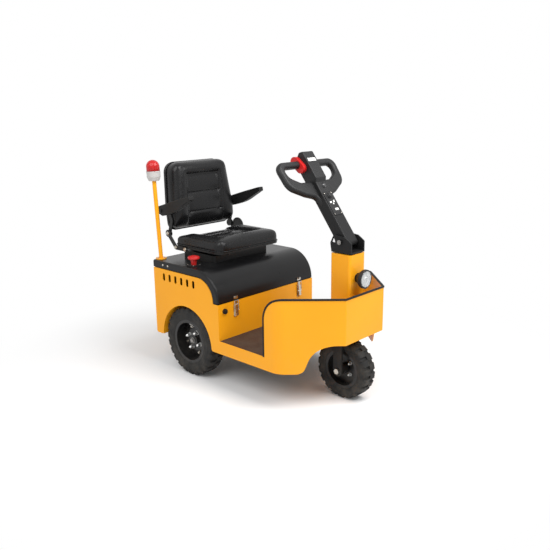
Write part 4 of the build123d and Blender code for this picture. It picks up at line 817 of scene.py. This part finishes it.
def plane_frame(x, z, lean):
    """Frame of a plane that leans back: local X to the left, Y up the plane, Z out of its front."""
    tilt = radians(lean)
    axes = (Vector((0, 1, 0)), Vector((-sin(tilt), 0, cos(tilt))), Vector((cos(tilt), 0, sin(tilt))))
    return Matrix.Translation(at(x, 0, z)) @ Matrix(axes).transposed().to_4x4()


def seat_frame():
    """Frame of the seat pad's middle: local X to the right, Y forward from its rear edge, Z up."""
    low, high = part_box("seat_cushion")
    place = Vector((low.x, 0, (low.z + high.z) / 2))
    axes = (Vector((0, -1, 0)), Vector((1, 0, 0)), Vector((0, 0, 1)))
    return Matrix.Translation(place) @ Matrix(axes).transposed().to_4x4()


BACK = plane_frame(0.012, 0.8162, 7.9)
TILLER = plane_frame(1.144, 0.866, 36.4)


class Pad(NamedTuple):
    """A padded piece: the panel inside its bolsters and the channels sewn across it."""
    node: str
    body: str
    frame: Matrix
    half_low: float
    half_high: float
    straight: float
    length: float
    half_thick: float
    panel_share: float
    panel_end: float
    channels: tuple
    recess: float
    crown: float
    corners: tuple


SEAT_PAD = Pad("seat_cushion", "seat", seat_frame(), 0.255, 0.255, 0.2, 0.410, 0.028, 0.60, 0.300, (0.10, 0.20),
               0.022, 0.022, ((-0.253, 0.002, 0.030), (0.253, 0.002, 0.030), (0.253, 0.408, 0.060),
                              (-0.253, 0.408, 0.060)))
BACK_PAD = Pad("backrest_cushion", "backrest", BACK, 0.243, 0.215, 0.135, 0.408, 0.042, 0.57, 0.328, (0.096, 0.214),
               0.022, 0.018, ((-0.242, 0.001, 0.045), (0.242, 0.001, 0.045), (0.242, 0.135, 0.120),
                              (0.214, 0.407, 0.065),
                       (-0.214, 0.407, 0.065), (-0.242, 0.135, 0.120)))
VOXEL = 0.006
PAD_SHRINK = 0.984
PANEL_STEP = 0.026
RIM_DROP = 0.006
FOOT_RUN = 0.12
FOOT_HELD = 0.05
PILLOW = 0.008
PAD_PRESSURE = 4.0
PAD_FRAMES = 8
PAD_SWELL = 0.008
SEAM_DEPTH = 0.0045
SEAM_WIDTH = 0.0042
SIDE_SEAM_SHARE = 0.4
CREASE_PASSES = 6
FRONT_FACING = 0.3
STITCH_SIDE = 0.0065
PIPING = 0.008


def eased(value):
    """Smooth step from 0 to 1."""
    value = min(max(value, 0.0), 1.0)
    return value * value * (3 - 2 * value)


def half_at(pad, y):
    """Half width of a pad at a height on it."""
    rise = min(max((y - pad.straight) / (pad.length - pad.straight), 0.0), 1.0)
    return pad.half_low + (pad.half_high - pad.half_low) * rise


def relief(pad, x, y):
    """How far the pad's front is set in, at a place on it, before it is filled."""
    half = half_at(pad, y)
    inner = min(pad.panel_share * half - abs(x), pad.panel_end - y)
    inside = eased(0.5 + inner / PANEL_STEP)
    edge = max(min(half - abs(x), pad.length - y), 0.0)
    bolster = pad.crown * sin(pi * min(edge / max(edge + max(-inner, 0.0), 0.001), 1.0)) * eased(y / FOOT_RUN)
    rows = (0.0,) + pad.channels + (pad.panel_end,)
    pillow = 0.0
    for low, high in zip(rows, rows[1:]):
        if low <= y <= high:
            pillow = PILLOW * sin(pi * (y - low) / (high - low)) ** 0.6
    return inside * (pillow - pad.recess) + (1 - inside) * (bolster - RIM_DROP)


def seam_lines(pad):
    """Sewn lines on a pad's front: the panel's border and the channels across it."""
    steps = 24
    border = []
    for step in range(steps + 1):
        y = 0.012 + (pad.panel_end - 0.012) * step / steps
        border.append((pad.panel_share * half_at(pad, y), y))
    top = border[-1][0]
    across_top = [(top - 2 * top * step / steps, pad.panel_end) for step in range(1, steps)]
    lines = [border + across_top + [(-x, y) for x, y in reversed(border)]]
    for y in pad.channels:
        reach = pad.panel_share * half_at(pad, y)
        lines.append([(reach - 2 * reach * step / steps, y) for step in range(steps + 1)])
    return lines


def groove(pad, x, y):
    """Depth of the sewn grooves at a place on a pad's front: shallow up the sides, deep across."""
    reach = pad.panel_share * half_at(pad, y)
    beyond = max(y - pad.panel_end, 0.0)
    to_side = sqrt((abs(x) - reach) ** 2 + beyond ** 2)
    outside = max(abs(x) - reach, 0.0)
    to_row = sqrt(min(abs(y - row) for row in pad.channels + (pad.panel_end,)) ** 2 + outside ** 2)
    return SEAM_DEPTH * max(SIDE_SEAM_SHARE * bell(to_side), bell(to_row))


def bell(distance):
    """Share of a groove's depth at a distance from its line."""
    return exp(-(distance / SEAM_WIDTH) ** 2) if distance < 3 * SEAM_WIDTH else 0.0


def pad_skin(pad):
    """Even skin over the pad's solid, drawn in a little and shaped before it is filled."""
    solid = tidy_normals(frame["nodes"][pad.node].data.copy())
    piece = link_mesh(pad.node + "_vinyl", solid, MATERIALS["seat_vinyl"])
    skin = piece.modifiers.new("skin", "REMESH")
    skin.mode = "VOXEL"
    skin.voxel_size = VOXEL
    mesh = evaluated_mesh(piece)
    piece.modifiers.remove(skin)
    back = pad.frame.inverted()
    middle = pad.length / 2
    for vert in mesh.vertices:
        spot = back @ vert.co
        front = eased((spot.z / pad.half_thick + 0.4) / 1.2)
        depth = relief(pad, spot.x, spot.y) * front
        vert.co = pad.frame @ Vector((spot.x * PAD_SHRINK, middle + (spot.y - middle) * PAD_SHRINK, spot.z + depth))
    piece.data = mesh
    return piece


def fill_pad(piece, pad):
    """Let the skin swell under its filling, held at the back and foot, with a cap on its movement."""
    back = pad.frame.inverted()
    held = piece.vertex_groups.new(name="held")
    spots = [back @ vert.co for vert in piece.data.vertices]
    still = [index for index, spot in enumerate(spots) if spot.z < -0.6 * pad.half_thick or spot.y < FOOT_HELD]
    held.add(still, 1.0, "REPLACE")
    cloth = piece.modifiers.new("filling", "CLOTH")
    cloth.settings.quality = 5
    cloth.settings.mass = 0.25
    cloth.settings.tension_stiffness = 30
    cloth.settings.compression_stiffness = 30
    cloth.settings.shear_stiffness = 15
    cloth.settings.bending_stiffness = 1.5
    cloth.settings.use_pressure = True
    cloth.settings.uniform_pressure_force = PAD_PRESSURE
    cloth.settings.effector_weights.gravity = 0
    cloth.settings.vertex_group_mass = "held"
    cloth.point_cache.frame_end = PAD_FRAMES
    for step in range(1, PAD_FRAMES + 1):
        SCENE.frame_set(step)
    swollen = evaluated_mesh(piece)
    piece.modifiers.remove(cloth)
    for vert, before in zip(swollen.vertices, piece.data.vertices):
        move = vert.co - before.co
        if move.length > PAD_SWELL:
            vert.co = before.co + move * (PAD_SWELL / move.length)
    piece.vertex_groups.clear()
    piece.data = swollen
    SCENE.frame_set(1)


def sew_pad(piece, pad):
    """Creases eased out and one subdivision, then the sewn grooves pressed into the front."""
    ease = piece.modifiers.new("ease", "SMOOTH")
    ease.iterations = CREASE_PASSES
    finer = piece.modifiers.new("finer", "SUBSURF")
    finer.levels = 1
    finer.render_levels = 1
    mesh = evaluated_mesh(piece)
    piece.modifiers.clear()
    piece.data = mesh
    back = pad.frame.inverted()
    outward = pad.frame.to_3x3() @ Vector((0, 0, 1))
    facing = [vert.normal.dot(outward) for vert in mesh.vertices]
    for vert, share in zip(mesh.vertices, facing):
        spot = back @ vert.co
        if spot.z < 0 or share < FRONT_FACING:
            continue
        vert.co -= outward * groove(pad, spot.x, spot.y)
    mesh.polygons.foreach_set("use_smooth", [True] * len(mesh.polygons))
    mesh.update()


def stitch_pad(piece, pad):
    """Rows of thread beside the seams, laid on the finished skin."""
    mesh = piece.data
    tree = BVHTree.FromPolygons([vert.co for vert in mesh.vertices], [face.vertices for face in mesh.polygons])
    outward = pad.frame.to_3x3() @ Vector((0, 0, 1))
    border, *channels = seam_lines(pad)
    grown_share = 1 + STITCH_SIDE / (pad.panel_share * pad.half_low)
    rows = [[(x * grown_share, y + (STITCH_SIDE if y >= pad.panel_end - 0.001 else 0)) for x, y in border]]
    for line in channels:
        rows.append([(x * 0.97, y + STITCH_SIDE) for x, y in line])
        rows.append([(x * 0.97, y - STITCH_SIDE) for x, y in line])
    threads = []
    for row in rows:
        points = []
        for x, y in row:
            hit = tree.ray_cast(pad.frame @ Vector((x, y, 0.2)), -outward)[0]
            if hit is not None:
                points.append(hit + outward * 0.0003)
        thread = grown(pad.node + "_row", line_mesh(pad.node + "_row", points), STITCH,
                       {"Pitch": 0.0085, "Length": 0.0062, "Thickness": 0.0013, "Material": MATERIALS["thread"]}, True)
        threads.append(thread.data)
        bpy.data.objects.remove(thread)
    settle(joined(pad.node + "_stitches", threads, MATERIALS["thread"]), pad.body, "seat_vinyl")


def rounded_loop(corners, steps=8):
    """Points of a closed outline through corners (x, y, radius), with an arc at each."""
    loop = []
    for index, (x, y, radius) in enumerate(corners):
        here = Vector((x, y))
        back = (Vector(corners[index - 1][:2]) - here).normalized()
        ahead = (Vector(corners[(index + 1) % len(corners)][:2]) - here).normalized()
        half_angle = back.angle(ahead) / 2
        middle = here + (back + ahead).normalized() * (radius / sin(half_angle))
        start = here + back * (radius / tan(half_angle)) - middle
        stop = here + ahead * (radius / tan(half_angle)) - middle
        for step in range(steps + 1):
            spoke = start.lerp(stop, step / steps).normalized() * radius
            loop.append(middle + spoke)
    return loop


def build_pad(pad):
    """Filled, sewn and piped vinyl pad in place of its plain solid."""
    piece = pad_skin(pad)
    fill_pad(piece, pad)
    sew_pad(piece, pad)
    settle(piece, pad.body, "seat_vinyl", pad.node)
    stitch_pad(piece, pad)
    edge = [pad.frame @ Vector((point.x, point.y, PIPING / 2 - pad.half_thick))
            for point in rounded_loop(pad.corners)]
    strip(pad.node + "_piping", edge, PIPING, PIPING, 0.0038, "seat_vinyl", pad.body, "seat_vinyl", True)


build_pad(SEAT_PAD)
build_pad(BACK_PAD)


# Tiller switches and blank labels

ARM_FACE = 0.031
PANEL_FACE = 0.034
HEAD_FACE = 0.046


def on_tiller(x, u, v):
    """Frame at a place on the tiller, local Z out of its upper face."""
    return TILLER @ Matrix.Translation((x, u, v))


def tiller_details():
    """Knob, button, indicators and a blank label on the arm and head."""
    knob = [(0.0, 0.013), (0.010, 0.013), (0.0125, 0.0115), (0.0135, 0.003), (0.0165, 0.0025), (0.0165, 0.0)]
    settle(link_mesh("tiller_knob", lathe("tiller_knob", knob, on_tiller(0, 0.252, PANEL_FACE), 40),
                     MATERIALS["black_plastic"]), "tiller", "black_plastic")
    button = [(0.0, 0.0085), (0.006, 0.008), (0.0105, 0.005), (0.0115, 0.003), (0.0145, 0.0026), (0.0145, 0.0)]
    settle(link_mesh("horn_button", lathe("horn_button", button, on_tiller(0.004, 0.318, ARM_FACE), 40),
                     MATERIALS["gauge_glass"]), "tiller", "black_plastic")
    # Blank marks: across, up the arm, half width, half height, thickness
    marks = ((-0.013, 0.214, 0.006, 0.0055, 0.0012), (0.013, 0.217, 0.005, 0.0065, 0.0012),
             (0.002, 0.204, 0.004, 0.004, 0.0012), (0.004, 0.170, 0.013, 0.0065, 0.003))
    plates = []
    for x, u, half_width, half_height, thick in marks:
        plates.append(slab("mark", on_tiller(x, u, PANEL_FACE), (-half_width, -half_height, -0.0002),
                           (half_width, half_height, thick), thick * 0.45))
    plates.append(slab("label", on_tiller(0, 0.470, HEAD_FACE), (-0.030, -0.0095, -0.0002),
                       (0.030, 0.0095, 0.0008), 0.0003))
    settle(joined("tiller_labels", plates, MATERIALS["label_white"]), "tiller", "beacon_white")
    screws = [(on_tiller(x, u, PANEL_FACE).translation, TILLER.to_3x3() @ Vector((0, 0, 1)))
              for x in (-0.028, 0.028) for u in (0.146, 0.268)]
    fasteners("panel_screws", PAN_SCREW, screws, 0.0032, 0.002, "bare_steel", "tiller", "bare_steel")


tiller_details()


# Headlamp and beacon

LAMP_PLACE = (1.270, 0.0, 0.679)
LENS_RADIUS = 0.0425
LENS_BULGE = 0.006
LENS_THICK = 0.0016
BEACON_RIBS = 30


def headlamp():
    """Bright reflector with a bulb behind a thin fluted glass."""
    turn = facing(at(*LAMP_PLACE), (1, 0, 0))
    bowl = [(LENS_RADIUS, -0.0006), (0.036, -0.0032), (0.024, -0.0054), (0.012, -0.0064), (0.010, -0.0030),
            (0.007, -0.0012), (0.0, -0.0008)]
    settle(link_mesh("lamp_reflector", lathe("lamp_reflector", softened(bowl, 2), turn, 64), MATERIALS["chrome"]),
           "chassis", "bare_steel")
    steps = 12
    outer = []
    for step in range(steps + 1):
        share = step / steps
        outer.append((LENS_RADIUS * share, LENS_BULGE * (1 - share ** 2) + 0.0004))
    inner = [(r * 0.985, h - LENS_THICK * 0.5) for r, h in reversed(outer)]
    dome = lathe("lamp_glass_dome", outer + inner, turn, 64, True)
    settle(link_mesh("lamp_glass_dome", dome, MATERIALS["lamp_glass"]),
           "chassis", "lamp_glass", "headlamp_lens")


def beacon_lens():
    """Beacon dome with moulded upright ribs, in place of its plain solid."""
    low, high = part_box("beacon_dome")
    lean = radians(3.5)
    pole_top = at(0.017, 0, LID_TOP_Z) + 0.517 * Vector((-sin(lean), 0, cos(lean)))
    place = Vector((pole_top.x, (low.y + high.y) / 2, pole_top.z))
    turn = facing(place, (-sin(lean), 0, cos(lean)), (0, 1, 0))
    profile = [(0.0388, 0.0)]
    for step in range(13):
        angle = pi / 2 * step / 12
        profile.append((0.0388 * cos(angle), 0.032 + 0.038 * sin(angle)))
    segments = BEACON_RIBS * 6
    points = []
    for index in range(segments):
        angle = 2 * pi * index / segments
        rib = 1 - 0.018 * (0.5 - 0.5 * cos(BEACON_RIBS * angle))
        for radius, height in profile:
            swing = 1 - (1 - rib) * min(1.0, max(0.0, (0.062 - height) / 0.02))
            points.append(turn @ Vector((radius * swing * cos(angle), radius * swing * sin(angle), height)))
    count = len(profile)
    faces = []
    for index in range(segments):
        ahead = (index + 1) % segments
        for row in range(count - 1):
            faces.append((index * count + row, ahead * count + row, ahead * count + row + 1, index * count + row + 1))
    faces.append(tuple(index * count for index in reversed(range(segments))))
    mesh = tidy_normals(mesh_of("beacon_lens", points, faces))
    settle(link_mesh("beacon_lens", mesh, MATERIALS["beacon_red"]), "lid", "beacon_red", "beacon_dome")
    band = [(0.0395, -0.004), (0.0412, -0.003), (0.0412, 0.003), (0.0395, 0.004)]
    settle(link_mesh("beacon_band", lathe("beacon_band", softened(band), turn, 64), MATERIALS["beacon_white"]),
           "lid", "beacon_white")


headlamp()
beacon_lens()


# Bolts and screws of the body


def both_sides(x, y, z):
    """The same place on the right and left, aiming outwards."""
    return [(at(x, -y, z), (0, -1, 0)), (at(x, y, z), (0, 1, 0))]


def square_places(x, y, z, half, aim):
    """Four corners of a square that faces along X or Z."""
    places = []
    for first in (-half, half):
        for second in (-half, half):
            spot = at(x, y + first, z + second) if aim[0] else at(x + first, y + second, z)
            places.append((spot, aim))
    return places


def body_fasteners():
    """Visible bolts and screws, by body."""
    plate_y = 0.261
    recliner = both_sides(0.135, plate_y, 0.717) + both_sides(0.046, plate_y, 0.717)
    recliner += both_sides(-0.025, plate_y, 0.795)
    hinges = [(at(-0.002, y + shift, 0.600), (-1, 0, 0)) for y in (-0.25, 0.25) for shift in (-0.024, 0.0, 0.024)]
    lid_screws = square_places(0.302, -0.336, LID_TOP_Z + 0.005, 0.024, (0, 0, 1))
    lid_lip = both_sides(0.092, HALF_WIDTH, 0.640) + both_sides(0.137, HALF_WIDTH, 0.640)
    flange = [(at(0.017 + 0.023 * cos(angle), -0.352 + 0.023 * sin(angle), LID_TOP_Z + 0.006), (0, 0, 1))
              for angle in (0.5, 2.6, 4.7)]
    key = [(at(0.581, -0.352, 0.444), (1, 0, 0))]
    # Rows: name, shape, places, radius, height, finish, body
    rows = (
        ("recliner_bolts", HEX_BOLT, recliner, 0.0085, 0.008, "bare_steel", "seat"),
        ("hinge_screws", PAN_SCREW, hinges, 0.0045, 0.003, "bare_steel", "chassis"),
        ("hitch_bolts", HEX_BOLT, square_places(-0.008, 0, 0.300, 0.050, (-1, 0, 0)), 0.009, 0.009,
         "bare_steel", "chassis"),
        ("stop_screws", PAN_SCREW, lid_screws, 0.0035, 0.0025, "bare_steel", "lid"),
        ("lid_lip_screws", PAN_SCREW, lid_lip, 0.006, 0.004, "bare_steel", "lid"),
        ("flange_screws", HEX_BOLT, flange, 0.0045, 0.005, "bare_steel", "lid"),
        # Pivot nuts in the darker steel copy, whose colour is painted shade.
        ("pivot_nuts", HEX_BOLT, both_sides(1.144, 0.068, 0.866), 0.009, 0.006, "steel_painted_shade", "steering"),
        ("armrest_bolt_right", HEX_BOLT, [(at(-0.028, -0.304, 0.938), (0, -1, 0))], 0.010, 0.006, "black_plastic",
         "armrest_right"),
        ("armrest_bolt_left", HEX_BOLT, [(at(-0.028, 0.304, 0.938), (0, 1, 0))], 0.010, 0.006, "black_plastic",
         "armrest_left"),
        ("key_barrel", PAN_SCREW, key, 0.009, 0.003, "black_plastic", "chassis"),
    )
    for name, shape, places, radius, height, finish, body in rows:
        # The darker steel copy with painted shade stands for bare steel.
        slot = "bare_steel" if finish == "steel_painted_shade" else finish
        fasteners(name, shape, places, radius, height, finish, body, slot)


body_fasteners()


# Camera, floor and light


def camera():
    """Camera at the photograph's place and angle."""
    yaw = radians(CAMERA_YAW)
    pitch = radians(CAMERA_PITCH)
    roll = radians(CAMERA_ROLL)
    ahead = Vector((-sin(radians(90) - yaw) * cos(pitch), sin(yaw) * cos(pitch), -sin(pitch)))
    right = ahead.cross(Vector((0, 0, 1))).normalized()
    upward = right.cross(ahead)
    right, upward = cos(roll) * right + sin(roll) * upward, cos(roll) * upward - sin(roll) * right
    lens = bpy.data.cameras.new("camera")
    lens.lens = CAMERA_LENS
    lens.shift_x, lens.shift_y = CAMERA_SHIFT
    eye = bpy.data.objects.new("camera", lens)
    turn = Matrix((right, upward, -ahead)).transposed()
    eye.matrix_world = Matrix.Translation(at(*CAMERA_PLACE)) @ turn.to_4x4()
    SCENE.collection.objects.link(eye)
    SCENE.camera = eye


def seen_directly(tree):
    """1 for rays that show the background itself: camera, glossy and transmission rays."""
    path = add_node(tree, "ShaderNodeLightPath")
    near = add_node(tree, "ShaderNodeMath", {"operation": "MAXIMUM"}, i0=path.outputs["Is Camera Ray"],
                    i1=path.outputs["Is Glossy Ray"])
    return add_node(tree, "ShaderNodeMath", {"operation": "MAXIMUM"}, i0=near.outputs[0],
                    i1=path.outputs["Is Transmission Ray"]).outputs[0]


def studio_world():
    """Even white surround."""
    world = bpy.data.worlds.new("studio")
    SCENE.world = world
    world.use_nodes = True
    tree = world.node_tree
    dim = tree.nodes["Background"]
    dim.inputs["Color"].default_value = (1, 1, 1, 1)
    dim.inputs["Strength"].default_value = AMBIENT
    white = add_node(tree, "ShaderNodeBackground", Color=(1, 1, 1, 1), Strength=1.0)
    mix = add_node(tree, "ShaderNodeMixShader", i0=seen_directly(tree), i1=dim.outputs[0], i2=white.outputs[0])
    tree.links.new(mix.outputs[0], tree.nodes["World Output"].inputs["Surface"])


def studio_floor():
    """Pale floor that fades into the white surround."""
    material = bpy.data.materials.new("studio_floor")
    material.use_nodes = True
    tree = material.node_tree
    tree.nodes.remove(tree.nodes["Principled BSDF"])
    matt = add_node(tree, "ShaderNodeBsdfDiffuse", Color=(0.92, 0.92, 0.92, 1))
    white = add_node(tree, "ShaderNodeEmission", Color=(1, 1, 1, 1), Strength=1.0)
    place = add_node(tree, "ShaderNodeTexCoord").outputs["Object"]
    distance = add_node(tree, "ShaderNodeVectorMath", {"operation": "LENGTH"}, i0=place)
    fade = add_node(tree, "ShaderNodeMapRange", {"interpolation_type": "SMOOTHSTEP"}, i0=distance.outputs["Value"],
                    i1=FLOOR_CLEAR, i2=FLOOR_FADE)
    share = add_node(tree, "ShaderNodeMath", {"operation": "MULTIPLY"}, i0=fade.outputs[0], i1=seen_directly(tree))
    mix = add_node(tree, "ShaderNodeMixShader", i0=share.outputs[0], i1=matt.outputs[0], i2=white.outputs[0])
    tree.links.new(mix.outputs[0], tree.nodes["Material Output"].inputs["Surface"])
    sides = 64
    rim = [(FLOOR_RADIUS * cos(2 * pi * k / sides), FLOOR_RADIUS * sin(2 * pi * k / sides), 0) for k in range(sides)]
    floor = link_mesh("studio_floor", mesh_of("studio_floor", rim, [tuple(range(sides))]), material, False)


def soft_lamp(name, place, size, energy):
    """Square soft lamp that aims at the middle of the vehicle."""
    light = bpy.data.lights.new(name, "AREA")
    light.size = size
    light.energy = energy
    lamp = bpy.data.objects.new(name, light)
    aim = Vector((0, 0, 0.5)) - Vector(place)
    lamp.matrix_world = facing(Vector(place), -aim)
    SCENE.collection.objects.link(lamp)


camera()
studio_world()
studio_floor()
soft_lamp("key_lamp", KEY_PLACE, KEY_SIZE, KEY_ENERGY)
soft_lamp("fill_lamp", FILL_PLACE, FILL_SIZE, FILL_ENERGY)
